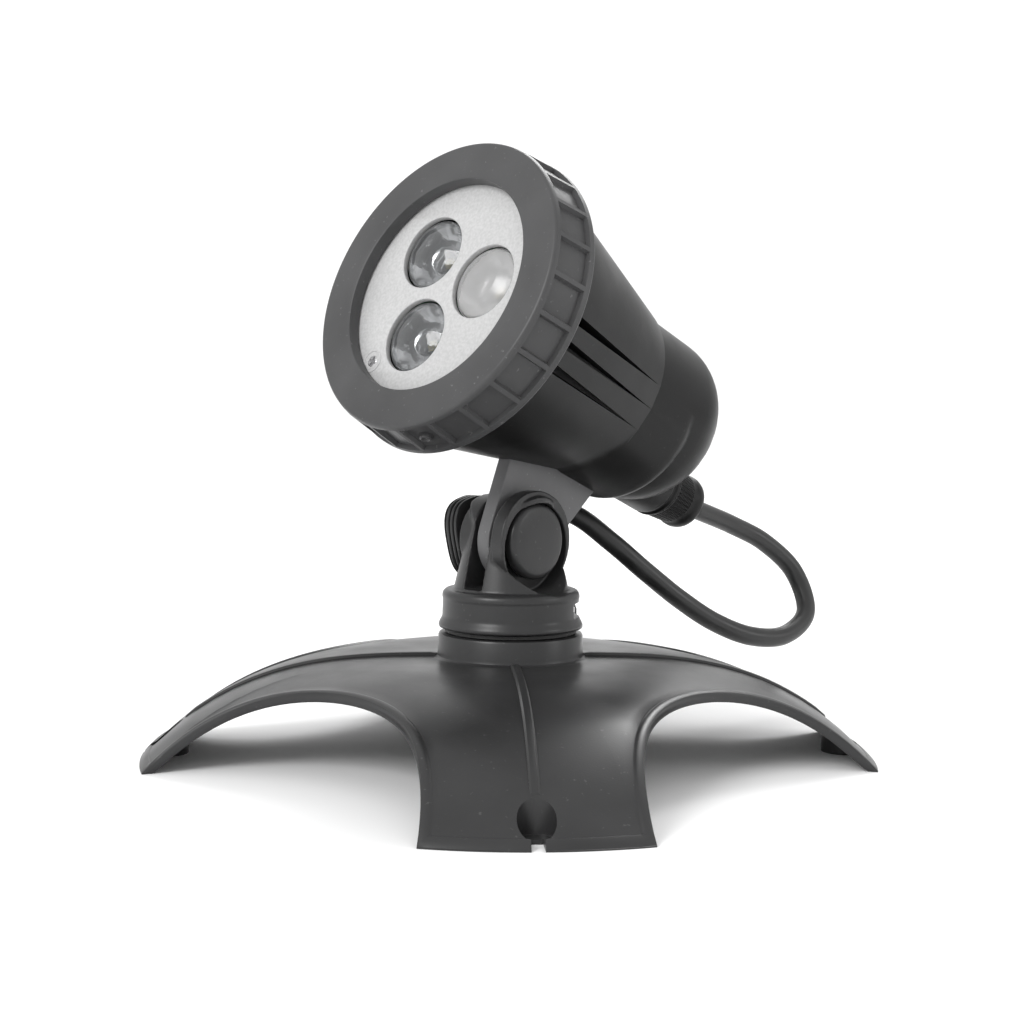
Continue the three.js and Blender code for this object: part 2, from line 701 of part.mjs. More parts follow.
// ---------------------------------------------------------------- cord
// From the gland in a loop beside the lamp, over the hook, down behind the fork, along the back leg and
// over the floor to the hank.
const GLAND_STEPS = [95, 104, 113]; // behind the bezel's face
const ROUTE = [
  [67.7, 61, 52.5], [78.3, 65.9, 47.1], [87.6, 67.3, 38.4], [90.3, 62.6, 27.3], [82.4, 54.6, 21.6],
  [71.2, 48.3, 22.1], [59.9, 44.1, 26.6], [49.4, 40.9, 33.4], [39.5, 38.1, 41.2], [29.7, 36.1, 49.4],
  [19.2, 35.2, 57], HOOK, [-2.2, 35.7, 51.8], [-4.9, 38.2, 39.5], [-4.9, 46, 29.2], [-5.4, 58, 24.4],
  [-6.4, 70, 19.4], [-7.8, 80.6, 12.4], [-9.6, 91.7, 6.2], [-11.8, 104, 3.8], [-13.2, 116, 3.6],
  [-13, 128.2, 3.6],
];

function cordRoute() {
  const inside = GLAND_STEPS.map((y) => lampToRest(vec3(0, y, -GLAND_DROP)));
  const points = [...inside, ...ROUTE.map((point) => vec3(...point))];
  return new THREE.CatmullRomCurve3(points, false, 'centripetal');
}

// A stretch of a longer curve, between two lengths along it.
class Stretch extends THREE.Curve {
  constructor(whole, from, to) {
    super();
    Object.assign(this, { whole, from, to, total: whole.getLength() });
  }

  getPoint(t, target = vec3(0, 0, 0)) {
    return this.whole.getPointAt((this.from + (this.to - this.from) * t) / this.total, target);
  }
}

function tube(name, curve) {
  const section = new THREE.Shape();
  for (let i = 0; i < CORD_SIDES; i += 1) {
    const angle = (2 * Math.PI * i) / CORD_SIDES;
    const [x, y] = [(CORD / 2) * Math.cos(angle), (CORD / 2) * Math.sin(angle)];
    if (i === 0) section.moveTo(x, y);
    else section.lineTo(x, y);
  }
  const steps = Math.ceil(curve.getLength() / (2.2 * CORD));
  const bevelEnabled = false;
  return piece(name, new THREE.ExtrudeGeometry(section, { steps, bevelEnabled, extrudePath: curve }), BLACK);
}

// The length along the cord at its point number `index`.
function lengthAt(route, index) {
  const divisions = 40 * (route.points.length - 1);
  return route.getLengths(divisions)[40 * index];
}

function cords() {
  const route = cordRoute();
  const over = lengthAt(route, GLAND_STEPS.length + ROUTE.indexOf(HOOK));
  const down = lengthAt(route, GLAND_STEPS.length + ROUTE.indexOf(HOOK) + 2);
  const half = FIT / 2;
  return [
    tube('cord_loop', new Stretch(route, 0, over - half)),
    tube('cord_drop', new Stretch(route, over + half, down - half)),
    tube('cord_tail', new Stretch(route, down + half, route.getLength())),
  ];
}

// A track outline with round ends, along Y.
function track(half, length) {
  const straight = length / 2 - half;
  const outline = new THREE.Shape();
  outline.absarc(0, straight, half, 0, Math.PI, false);
  outline.absarc(0, -straight, half, Math.PI, 2 * Math.PI, false);
  return outline;
}

// The hank is folded cord all through, but for the space that the plug lies in.
const PLUG_REAR = -10;

function cordHank() {
  const outline = track(HANK_HALF, HANK_LENGTH);
  const straight = HANK_LENGTH / 2 - HANK_HALF;
  const space = new THREE.Path();
  space.moveTo(-HANK_INNER, PLUG_REAR);
  space.lineTo(HANK_INNER, PLUG_REAR);
  space.absarc(0, straight, HANK_INNER, 0, Math.PI, false);
  outline.holes.push(space);
  const mesh = piece('cord_hank', pushed(outline, HANK_LAYERS * CORD, 14), BLACK);
  mesh.position.z = HANK_LIFT;
  return mesh;
}

function hankTie() {
  const top = HANK_LIFT + HANK_LAYERS * CORD + FIT;
  const side = HANK_HALF + FIT;
  const strap = 0.7;
  const outer = block(-side - strap, side + strap, -3.5, 3.5, 0.02, top + strap);
  const inner = block(-side, side, -4, 4, HANK_LIFT - FIT, top);
  return made('hank_tie', outer.subtract(inner).translate([0, -14, 0]), GREY);
}

const PLUG_RADIUS = 6.2;

function cordPlug() {
  const body = solid(turnedY([
    [0, 0],
    [3.2, 0],
    [4.4, 10],
    [5.7, 11],
    [5.7, 22],
    [4.3, 22.5],
    [4.3, PLUG_LENGTH - 4],
    [0, PLUG_LENGTH - 4],
  ], 28));
  const pins = [-1.7, 1.7].map((x) =>
    alongY(drum(0.8, PLUG_LENGTH - 6, PLUG_LENGTH, 12)).translate([x, 0, 0]));
  const mesh = made('cord_plug', union([body, ...pins]), BLACK);
  mesh.position.set(0, PLUG_REAR + FIT, PLUG_RADIUS + FIT);
  return mesh;
}

function plugRing() {
  const mesh = piece('plug_ring', turnedY(ring(4.6, PLUG_RADIUS, 23, 36), 28), BLACK);
  mesh.position.set(0, PLUG_REAR + FIT, PLUG_RADIUS + FIT);
  return mesh;
}

// ---------------------------------------------------------------- assembly
function lamp() {
  const axis = new THREE.Group();
  axis.position.set(0, -FACE_AHEAD, AXIS_ABOVE);
  axis.add(housing(), bezelRing(), frontSeal(), facePlate(), faceScrew());
  LENS_ANGLES.forEach((angle, i) => axis.add(lens(i + 1, angle), led(i + 1, angle)));
  axis.add(ledBoard(), heatSink(), driverBoard(), glandNut(), glandSeal());
  return axis;
}

const head = new THREE.Group();
head.rotation.x = rad(-TILT_ANGLE);
head.add(tiltBracket(), ...bracketScrews(), lamp());

const pivot = new THREE.Group();
pivot.position.z = PIVOT_HEIGHT;
pivot.add(pivotBolt(), clampKnob(), knobInsert(), knobWasher(), head);

const swivel = new THREE.Group();
swivel.rotation.z = rad(SWIVEL_ANGLE);
swivel.add(swivelFork(), swivelScrew(), swivelWasher(), pivot);

const hank = new THREE.Group();
hank.position.copy(HANK_CENTRE);
hank.rotation.z = rad(HANK_TURN);
hank.add(cordHank(), hankTie(), cordPlug(), plugRing());

const light = new THREE.Group();
light.add(basePlate(), swivelSeal(), swivel, ...cords(), hank);

export default light;
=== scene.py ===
"""Underwater pond light: the visual model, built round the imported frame. Lengths in millimetres, turned
into metres when a mesh is made. The lamp's own pieces are shaped on the lamp axis and then put in place."""
import json
import math

import bmesh
import bpy
from mathutils import Matrix, Vector


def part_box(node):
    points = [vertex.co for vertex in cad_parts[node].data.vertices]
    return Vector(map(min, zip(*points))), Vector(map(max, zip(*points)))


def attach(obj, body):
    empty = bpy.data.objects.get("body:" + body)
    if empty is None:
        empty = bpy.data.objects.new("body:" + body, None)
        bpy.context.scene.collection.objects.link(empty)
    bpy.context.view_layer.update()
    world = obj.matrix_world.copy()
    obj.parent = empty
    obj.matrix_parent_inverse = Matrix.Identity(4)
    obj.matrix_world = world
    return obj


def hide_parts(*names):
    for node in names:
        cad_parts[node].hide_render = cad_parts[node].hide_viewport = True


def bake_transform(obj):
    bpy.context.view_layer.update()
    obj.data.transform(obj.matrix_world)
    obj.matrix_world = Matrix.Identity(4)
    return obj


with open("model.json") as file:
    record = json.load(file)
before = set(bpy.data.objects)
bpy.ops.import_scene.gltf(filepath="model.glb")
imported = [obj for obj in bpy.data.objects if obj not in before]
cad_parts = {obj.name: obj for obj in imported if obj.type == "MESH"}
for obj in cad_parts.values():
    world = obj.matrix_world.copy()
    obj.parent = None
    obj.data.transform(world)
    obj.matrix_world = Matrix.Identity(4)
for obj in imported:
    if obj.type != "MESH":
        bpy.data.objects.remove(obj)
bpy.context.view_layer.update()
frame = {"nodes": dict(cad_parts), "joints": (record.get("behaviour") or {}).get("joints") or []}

MM = 0.001

# ---------------------------------------------------------------- sizes, from the frame
base_low, base_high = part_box("base_plate")
BASE_RADIUS = 90.0
COLLAR_RADIUS = 17.9
COLLAR_TOP = base_high.z / MM
DOME_HEIGHT = COLLAR_TOP - 6.0
DOME_POWER = 3.1
SKIN = 2.0
CUT_DISTANCE, CUT_RADIUS = 109.6, 54.6
POCKET_RADIUS, POCKET_AT = 4.0, 84.4
PIVOT = frame["joints"][1]["pos_m"][2] / MM
TILT, SWIVEL = math.radians(22), math.radians(-47)
FACE_AHEAD, AXIS_ABOVE = 49.0, 46.5
CORD = 5.4
GLAND_DROP = 14.5

HEAD = Matrix.Rotation(SWIVEL, 4, "Z") @ Matrix.Translation((0, 0, PIVOT)) @ Matrix.Rotation(-TILT, 4, "X")
FORK = Matrix.Rotation(SWIVEL, 4, "Z")
LAMP = HEAD @ Matrix.Translation((0, -FACE_AHEAD, AXIS_ABOVE))
WORLD = Matrix.Identity(4)


# ---------------------------------------------------------------- mesh helpers
def mesh_object(name, verts, faces, place=WORLD, smooth_angle=32.0):
    """An object from millimetre vertices, put in its place in metres."""
    mesh = bpy.data.meshes.new(name)
    mesh.from_pydata([place @ Vector(v) * MM for v in verts], [], faces)
    return finished(name, mesh, smooth_angle)


def finished(name, mesh, smooth_angle=32.0):
    work = bmesh.new()
    work.from_mesh(mesh)
    bmesh.ops.remove_doubles(work, verts=work.verts, dist=2e-6)
    bmesh.ops.dissolve_degenerate(work, dist=1e-7, edges=work.edges)
    bmesh.ops.recalc_face_normals(work, faces=work.faces)
    work.to_mesh(mesh)
    work.free()
    for polygon in mesh.polygons:
        polygon.use_smooth = True
    mesh.set_sharp_from_angle(angle=math.radians(smooth_angle))
    piece = bpy.data.objects.new(name, mesh)
    bpy.context.scene.collection.objects.link(piece)
    return piece


def grid(rows, closed_rows=False):
    """Vertices and quads of a grid whose columns go round; a row of one point is a pole."""
    verts, faces, starts = [], [], []
    for row in rows:
        starts.append(len(verts))
        verts.extend(row)
    count = max(len(row) for row in rows)
    pairs = list(zip(range(len(rows) - 1), range(1, len(rows))))
    if closed_rows:
        pairs.append((len(rows) - 1, 0))
    for a, b in pairs:
        for j in range(count):
            k = (j + 1) % count
            if len(rows[a]) == 1:
                faces.append((starts[a], starts[b] + j, starts[b] + k))
            elif len(rows[b]) == 1:
                faces.append((starts[a] + j, starts[b], starts[a] + k))
            else:
                faces.append((starts[a] + j, starts[b] + j, starts[b] + k, starts[a] + k))
    return verts, faces


def ring_z(radius, z, count):
    if radius < 1e-6:
        return [(0, 0, z)]
    steps = [2 * math.pi * i / count for i in range(count)]
    return [(radius * math.cos(a), radius * math.sin(a), z) for a in steps]


def rounded(profile, radius=0.35, steps=3):
    """A profile of (r, h) with its corners rounded; a corner's third value is its own radius."""
    out = []
    count = len(profile)
    for i, corner in enumerate(profile):
        r = corner[2] if len(corner) > 2 else radius
        here = Vector(corner[:2])
        before, after = Vector(profile[i - 1][:2]), Vector(profile[(i + 1) % count][:2])
        if here.x < 1e-6 or r <= 0:
            out.append(tuple(here))
            continue
        back, ahead = before - here, after - here
        r = min(r, back.length * 0.45, ahead.length * 0.45)
        start, end = here + back.normalized() * r, here + ahead.normalized() * r
        for s in range(steps + 1):
            t = s / steps
            out.append(tuple(start.lerp(here, t).lerp(here.lerp(end, t), t)))
    return out


def lathe(name, profile, place=WORLD, count=96, axis="Z", radius=0.35):
    """A closed profile of (r, h) turned about Z, or about the lamp axis."""
    points = rounded(profile, radius)
    rows = [ring_z(r, h, count) for r, h in points]
    solid = all(r > 1e-6 for r, _ in points)
    verts, faces = grid(rows, closed_rows=solid)
    if axis == "Y":
        verts = [(x, z, -y) for x, y, z in verts]
    if axis == "X":
        verts = [(z, y, -x) for x, y, z in verts]
    return mesh_object(name, verts, faces, place)


def slab(name, outlines, depth, place, bevel=0.3):
    """A flat plate with rounded edges from closed outlines; inner outlines are holes."""
    curve = bpy.data.curves.new(name, "CURVE")
    curve.dimensions = "2D"
    curve.fill_mode = "BOTH"
    curve.extrude = (depth / 2 - bevel) * MM
    curve.bevel_depth = bevel * MM
    curve.bevel_resolution = 2
    curve.offset = -bevel * MM
    for outline in outlines:
        spline = curve.splines.new("POLY")
        spline.points.add(len(outline) - 1)
        for point, (x, y) in zip(spline.points, outline):
            point.co = (x * MM, y * MM, 0, 1)
        spline.use_cyclic_u = True
    shape = bpy.data.objects.new(name + "_outline", curve)
    bpy.context.scene.collection.objects.link(shape)
    bpy.context.view_layer.update()
    mesh = bpy.data.meshes.new_from_object(shape.evaluated_get(bpy.context.evaluated_depsgraph_get()))
    mesh.name = name
    bpy.data.objects.remove(shape)
    bpy.data.curves.remove(curve)
    scaled = place.copy()
    scaled.translation = place.translation * MM
    mesh.transform(scaled)
    return finished(name, mesh)


def circle(radius, centre=(0, 0), count=64):
    steps = [2 * math.pi * i / count for i in range(count)]
    return [(centre[0] + radius * math.cos(a), centre[1] + radius * math.sin(a)) for a in steps]


def remade(piece):
    """The same piece with its normals and sharp edges made again."""
    name, mesh = piece.name, piece.data
    bpy.data.objects.remove(piece)
    return finished(name, mesh)


def joined(name, pieces):
    """Several closed meshes in one object."""
    work = bmesh.new()
    for piece in pieces:
        work.from_mesh(piece.data)
    mesh = bpy.data.meshes.new(name)
    work.to_mesh(mesh)
    work.free()
    for piece in pieces:
        bpy.data.objects.remove(piece)
    return finished(name, mesh)


def cut(target, tools, operation="DIFFERENCE"):
    """A boolean with each tool in turn; the tools go."""
    for tool in tools:
        modifier = target.modifiers.new("cut", "BOOLEAN")
        modifier.operation = operation
        modifier.solver = "MANIFOLD"
        modifier.object = tool
        bpy.context.view_layer.update()
        graph = bpy.context.evaluated_depsgraph_get()
        mesh = bpy.data.meshes.new_from_object(target.evaluated_get(graph))
        target.modifiers.clear()
        target.data = mesh
        bpy.data.objects.remove(tool)
    return target


def box_object(name, low, high, place=WORLD):
    (x0, y0, z0), (x1, y1, z1) = low, high
    verts = [(x, y, z) for z in (z0, z1) for x, y in ((x0, y0), (x1, y0), (x1, y1), (x0, y1))]
    faces = [(0, 3, 2, 1), (4, 5, 6, 7), (0, 1, 5, 4), (1, 2, 6, 5), (2, 3, 7, 6), (3, 0, 4, 7)]
    return mesh_object(name, verts, faces, place)


def moulded(piece, voxel=0.4, smoothing=3):
    """Remeshed and smoothed, so that cut edges get a moulding's small round."""
    remesh = piece.modifiers.new("remesh", "REMESH")
    remesh.mode = "VOXEL"
    remesh.voxel_size = voxel * MM
    remesh.adaptivity = 0.0
    soften = piece.modifiers.new("soften", "SMOOTH")
    soften.factor = 0.5
    soften.iterations = smoothing
    bpy.context.view_layer.update()
    graph = bpy.context.evaluated_depsgraph_get()
    mesh = bpy.data.meshes.new_from_object(piece.evaluated_get(graph))
    piece.modifiers.clear()
    piece.data = mesh
    for polygon in mesh.polygons:
        polygon.use_smooth = True
    return piece


# ---------------------------------------------------------------- materials
def nodes_of(name):
    material = bpy.data.materials.new(name)
    material.use_nodes = True
    tree = material.node_tree
    return material, tree, tree.nodes["Principled BSDF"]


def noise(tree, scale, detail=3.0, stretch=None):
    coordinates = tree.nodes.new("ShaderNodeTexCoord")
    texture = tree.nodes.new("ShaderNodeTexNoise")
    texture.inputs["Scale"].default_value = scale
    texture.inputs["Detail"].default_value = detail
    source = coordinates.outputs["Object"]
    if stretch:
        mapping = tree.nodes.new("ShaderNodeMapping")
        mapping.inputs["Scale"].default_value = stretch
        tree.links.new(source, mapping.inputs["Vector"])
        source = mapping.outputs["Vector"]
    tree.links.new(source, texture.inputs["Vector"])
    return texture.outputs["Fac"]


def ramp(tree, value, stops):
    node = tree.nodes.new("ShaderNodeValToRGB")
    elements = node.color_ramp.elements
    while len(elements) < len(stops):
        elements.new(0.5)
    for element, (position, colour) in zip(elements, stops):
        element.position = position
        element.color = (*colour, 1) if len(colour) == 3 else colour
    tree.links.new(value, node.inputs["Fac"])
    return node.outputs["Color"]


def spread(tree, value, low, high):
    node = tree.nodes.new("ShaderNodeMapRange")
    node.inputs["From Min"].default_value = 0.3
    node.inputs["From Max"].default_value = 0.7
    node.inputs["To Min"].default_value = low
    node.inputs["To Max"].default_value = high
    tree.links.new(value, node.inputs["Value"])
    return node.outputs["Result"]


def bump(tree, shader, height, strength, distance):
    node = tree.nodes.new("ShaderNodeBump")
    node.inputs["Strength"].default_value = strength
    node.inputs["Distance"].default_value = distance
    tree.links.new(height, node.inputs["Height"])
    tree.links.new(node.outputs["Normal"], shader.inputs["Normal"])


def grey(level, tint=0.0):
    return (level, level, level * (1 + tint))


def moulded_plastic(name, level, roughness, gloss=0.4, grain=0.35, dust=0.5):
    """Satin plastic: a fine spark-eroded grain, faint flow marks, a scatter of pale specks."""
    material, tree, shader = nodes_of(name)
    flow = noise(tree, 55, 4.0)
    specks = noise(tree, 900, 2.0)
    base = ramp(tree, flow, [(0.3, grey(level * 0.86, 0.02)), (0.7, grey(level * 1.14, 0.02))])
    dots = ramp(tree, specks, [(0.69, grey(0)), (0.76, grey(1))])
    mix = tree.nodes.new("ShaderNodeMix")
    mix.data_type = "RGBA"
    factor = tree.nodes.new("ShaderNodeMath")
    factor.operation = "MULTIPLY"
    factor.inputs[1].default_value = dust
    tree.links.new(dots, factor.inputs[0])
    tree.links.new(factor.outputs[0], mix.inputs["Factor"])
    tree.links.new(base, mix.inputs["A"])
    mix.inputs["B"].default_value = (*grey(level * 2.6 + 0.02), 1)
    tree.links.new(mix.outputs["Result"], shader.inputs["Base Color"])
    tree.links.new(spread(tree, flow, roughness - 0.06, roughness + 0.08), shader.inputs["Roughness"])
    bump(tree, shader, noise(tree, 2600, 2.0), grain, 0.00004)
    shader.inputs["Specular IOR Level"].default_value = gloss
    return material


def face_plastic():
    """Pale satin plate with a fine pearl grain."""
    material, tree, shader = nodes_of("pale_face")
    colour = ramp(tree, noise(tree, 1500, 3.0), [(0.35, grey(0.41)), (0.65, grey(0.48))])
    tree.links.new(colour, shader.inputs["Base Color"])
    tree.links.new(spread(tree, noise(tree, 180), 0.42, 0.56), shader.inputs["Roughness"])
    bump(tree, shader, noise(tree, 1800, 2.0), 0.25, 0.00004)
    return material


def clear_plastic(name, tint, roughness, clarity):
    material, tree, shader = nodes_of(name)
    shader.inputs["Base Color"].default_value = (*tint, 1)
    shader.inputs["Transmission Weight"].default_value = clarity
    shader.inputs["IOR"].default_value = 1.49
    tree.links.new(spread(tree, noise(tree, 300), roughness, roughness + 0.05), shader.inputs["Roughness"])
    bump(tree, shader, noise(tree, 260, 2.0), 0.12, 0.0001)
    return material


def rubber(name, level=0.035, roughness=0.42):
    """Extruded sheath: faint lengthwise drag lines and a soft sheen."""
    material, tree, shader = nodes_of(name)
    cloud = noise(tree, 140, 3.0)
    tree.links.new(ramp(tree, cloud, [(0.3, grey(level * 0.8)), (0.7, grey(level * 1.3))]),
                   shader.inputs["Base Color"])
    tree.links.new(spread(tree, cloud, roughness - 0.07, roughness + 0.09), shader.inputs["Roughness"])
    bump(tree, shader, noise(tree, 1500, 2.0), 0.2, 0.00005)
    return material


def brushed(name, colour, roughness=0.3, stretch=(1, 1, 14)):
    material, tree, shader = nodes_of(name)
    shader.inputs["Metallic"].default_value = 1.0
    lines = noise(tree, 320, 4.0, stretch)
    darker = tuple(0.78 * c for c in colour)
    tree.links.new(ramp(tree, lines, [(0.3, darker), (0.7, colour)]), shader.inputs["Base Color"])
    tree.links.new(spread(tree, lines, roughness - 0.08, roughness + 0.14), shader.inputs["Roughness"])
    bump(tree, shader, lines, 0.2, 0.00005)
    return material


def circuit_board():
    material, tree, shader = nodes_of("solder_resist")
    tracks = noise(tree, 420, 1.0)
    tree.links.new(ramp(tree, tracks, [(0.46, (0.02, 0.1, 0.04)), (0.5, (0.05, 0.2, 0.08))]),
                   shader.inputs["Base Color"])
    tree.links.new(spread(tree, tracks, 0.3, 0.45), shader.inputs["Roughness"])
    bump(tree, shader, tracks, 0.3, 0.00006)
    return material


def phosphor():
    material, tree, shader = nodes_of("phosphor")
    tree.links.new(ramp(tree, noise(tree, 1500), [(0.3, (0.7, 0.55, 0.14)), (0.7, (0.9, 0.78, 0.3))]),
                   shader.inputs["Base Color"])
    shader.inputs["Roughness"].default_value = 0.25
    shader.inputs["Coat Weight"].default_value = 0.6
    return material


def woven(name):
    material, tree, shader = nodes_of(name)
    coordinates = tree.nodes.new("ShaderNodeTexCoord")
    wave = tree.nodes.new("ShaderNodeTexWave")
    wave.inputs["Scale"].default_value = 700
    wave.inputs["Distortion"].default_value = 1.2
    tree.links.new(coordinates.outputs["Object"], wave.inputs["Vector"])
    tree.links.new(ramp(tree, wave.outputs["Fac"], [(0.2, grey(0.04)), (0.8, grey(0.1))]),
                   shader.inputs["Base Color"])
    tree.links.new(spread(tree, wave.outputs["Fac"], 0.7, 0.9), shader.inputs["Roughness"])
    bump(tree, shader, wave.outputs["Fac"], 0.6, 0.0002)
    return material


CHARCOAL = moulded_plastic("charcoal_plastic", 0.025, 0.34)
BLACK = moulded_plastic("black_plastic", 0.006, 0.36, 0.22)
BEZEL_GREY = moulded_plastic("bezel_plastic", 0.058, 0.4, 0.3)
BRACKET_GREY = moulded_plastic("bracket_plastic", 0.12, 0.5, 0.5)
FACE = face_plastic()
CLEAR = clear_plastic("clear_lens", (0.38, 0.39, 0.4), 0.05, 0.85)
# Paler, less clear lens for the first lens only: a painted highlight, as the three lenses are the same part.
PAINTED_BRIGHT_LENS = clear_plastic("lens_painted_bright", (0.66, 0.66, 0.66), 0.16, 0.65)
SEAL = rubber("seal_rubber", 0.02, 0.6)
SHEATH = rubber("cable_sheath", 0.018, 0.36)
STEEL = brushed("stainless", (0.62, 0.62, 0.63))
BRASS = brushed("brass", (0.65, 0.47, 0.2))
ALUMINIUM = brushed("cast_aluminium", (0.66, 0.67, 0.68), 0.42)
CIRCUIT = circuit_board()
PHOSPHOR = phosphor()
STRAP = woven("strap_weave")


def dressed(piece, material, body=None, replaces=()):
    piece.data.materials.clear()
    piece.data.materials.append(material)
    if body:
        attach(piece, body)
    if replaces:
        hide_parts(*replaces)
    return piece


def recoat(node, material):
    carried = frame["nodes"][node]
    carried.data.materials.clear()
    carried.data.materials.append(material)


# ---------------------------------------------------------------- camera
CAMERA_AT = Vector((-0.0266, -0.3959, 0.0877))
LOOK_AT = Vector((0, 0, 0.060))
ROLL = math.radians(0.71)
FRAMING = 1.62  # how much closer the picture is framed than the scene it was taken from


def camera():
    data = bpy.data.cameras.new("camera")
    data.lens = 34.9 * FRAMING
    data.sensor_width = 36
    data.clip_start, data.clip_end = 0.01, 10
    view = bpy.data.objects.new("camera", data)
    turn = (LOOK_AT - CAMERA_AT).to_track_quat("-Z", "Y").to_matrix().to_4x4()
    view.matrix_world = Matrix.Translation(CAMERA_AT) @ turn @ Matrix.Rotation(ROLL, 4, "Z")
    bpy.context.scene.collection.objects.link(view)
    bpy.context.scene.camera = view


camera()


# ---------------------------------------------------------------- cord
def lamp_point(x, y, z):
    return LAMP @ Vector((x, y, z))


HOOK = (7, 35.2, 60.2)
GLAND_STEPS = (95, 104, 113)
ROUTE = [
    (67.7, 61, 52.5), (78.3, 65.9, 47.1), (87.6, 67.3, 38.4), (90.3, 62.6, 27.3), (82.4, 54.6, 21.6),
    (71.2, 48.3, 22.1), (59.9, 44.1, 26.6), (49.4, 40.9, 33.4), (39.5, 38.1, 41.2), (29.7, 36.1, 49.4),
    (19.2, 35.2, 57), HOOK, (-2.2, 35.7, 51.8), (-4.9, 38.2, 39.5), (-4.9, 46, 29.2), (-5.4, 58, 24.4),
    (-6.4, 70, 19.4), (-7.8, 80.6, 12.4), (-9.6, 91.7, 6.2), (-11.8, 104, 3.8), (-13.2, 116, 3.6),
    (-13, 128.2, 3.6),
]
HANK_CENTRE, HANK_TURN = Vector((11.2, 166, 0)), math.radians(-3.8)
HANK = Matrix.Translation(HANK_CENTRE) @ Matrix.Rotation(HANK_TURN, 4, "Z")
HANK_RUN = 26.2  # half a straight run
HANK_FOLDS = (19.1, 13.7)  # the outer and the inner turns
HANK_FLOOR = 3.6  # the lowest layer's middle
HANK_LAYERS = 3
TIE_HALF = 22.45  # half the width inside the strap round the hank
TIE_AT = -14  # the strap, along the hank from its middle
PLUG_REAR = Vector((0, -9.7, 6.5))


def catmull(points, steps=14):
    """The same centripetal curve as the frame's cord."""
    ends = [points[0] * 2 - points[1], *points, points[-1] * 2 - points[-2]]
    out = []
    for a, b, c, d in zip(ends, ends[1:], ends[2:], ends[3:]):
        t0 = 0.0
        t1 = t0 + math.sqrt((b - a).length)
        t2 = t1 + math.sqrt((c - b).length)
        t3 = t2 + math.sqrt((d - c).length)
        for i in range(steps):
            t = t1 + (t2 - t1) * i / steps
            p = a.lerp(b, (t - t0) / (t1 - t0))
            q = b.lerp(c, (t - t1) / (t2 - t1))
            r = c.lerp(d, (t - t2) / (t3 - t2))
            u = p.lerp(q, (t - t0) / (t2 - t0))
            v = q.lerp(r, (t - t1) / (t3 - t1))
            out.append(u.lerp(v, (t - t1) / (t2 - t1)))
    return [*out, points[-1].copy()]


def ease(t):
    t = min(1.0, max(0.0, t))
    return t * t * (3 - 2 * t)


def fold(radius, low, high, side, hump=0.0, steps=12):
    """Half a turn at the far end (side 1) or the near end (side -1); it changes layer late in the turn."""
    out = []
    for i in range(steps + 1):
        t = i / steps
        angle = math.pi * (1 - t) if side > 0 else -math.pi * t
        r = radius[0] + (radius[1] - radius[0]) * t
        z = low + (high - low) * ease((t - 0.35) / 0.65) + hump * math.sin(math.pi * t)
        out.append(Vector((r * math.cos(angle), side * HANK_RUN + r * math.sin(angle), z)))
    return out


def curl():
    """From the last inner run round to the plug: an open turn, then a shorter one back."""
    radius = 2 * CORD
    centre = HANK_FOLDS[1] - radius
    over = math.acos((centre + radius) / (2 * radius))
    first = Vector((centre, PLUG_REAR.y - 2 * radius * math.sin(over), HANK_FLOOR))
    second = Vector((-radius, PLUG_REAR.y, PLUG_REAR.z))
    turn = math.pi + over
    out = []
    for i in range(1, 17):
        t = i / 16
        lift = (PLUG_REAR.z - HANK_FLOOR) * ease((t - 0.5) / 0.5)
        out.append(first + Vector((radius * math.cos(turn * t), -radius * math.sin(turn * t), lift)))
    for i in range(1, 6):
        angle = -over * (1 - i / 5)
        out.append(second + radius * Vector((math.cos(angle), math.sin(angle), 0)))
    return [*out, PLUG_REAR + Vector((0, 4, 0))]


def hank_points():
    """Up through the outer turns, then down through the inner ones, and into the plug."""
    outer, inner = HANK_FOLDS
    points = []
    heights = [HANK_FLOOR + CORD * i for i in range(HANK_LAYERS)]
    for layer, z in enumerate(heights):
        last = layer == HANK_LAYERS - 1
        after = z if last else heights[layer + 1]
        points += [Vector((-outer, y, z)) for y in (-12, 0, 12)] + fold((outer, outer), z, z, 1)
        points += [Vector((outer, y, z)) for y in (12, 0, -12)]
        points += fold((outer, inner if last else outer), z, after, -1, 4.0 if last else 0.0)
    for layer, z in reversed(list(enumerate(heights))):
        after = heights[layer - 1] if layer else z
        points += [Vector((-inner, y, z)) for y in (-12, 0, 12)] + fold((inner, inner), z, z, 1)
        points += [Vector((inner, y, z)) for y in (12, 0, -12)]
        if layer:
            points += fold((inner, inner), z, after, -1)
    return [HANK @ p for p in [*points, *curl()]]


def tube(name, path, radius=CORD / 2, sides=20):
    """A round tube along a path, its section carried along without twist."""
    tangents = [(b - a).normalized() for a, b in zip([path[0], *path[:-1]], [*path[1:], path[-1]])]
    normal = tangents[0].orthogonal().normalized()
    rows = [[path[0]]]
    for point, tangent in zip(path, tangents):
        normal = (normal - tangent * normal.dot(tangent)).normalized()
        side = tangent.cross(normal)
        rows.append([point + radius * (normal * math.cos(a) + side * math.sin(a))
                     for a in (2 * math.pi * i / sides for i in range(sides))])
    rows.append([path[-1]])
    return mesh_object(name, *grid(rows), smooth_angle=50)


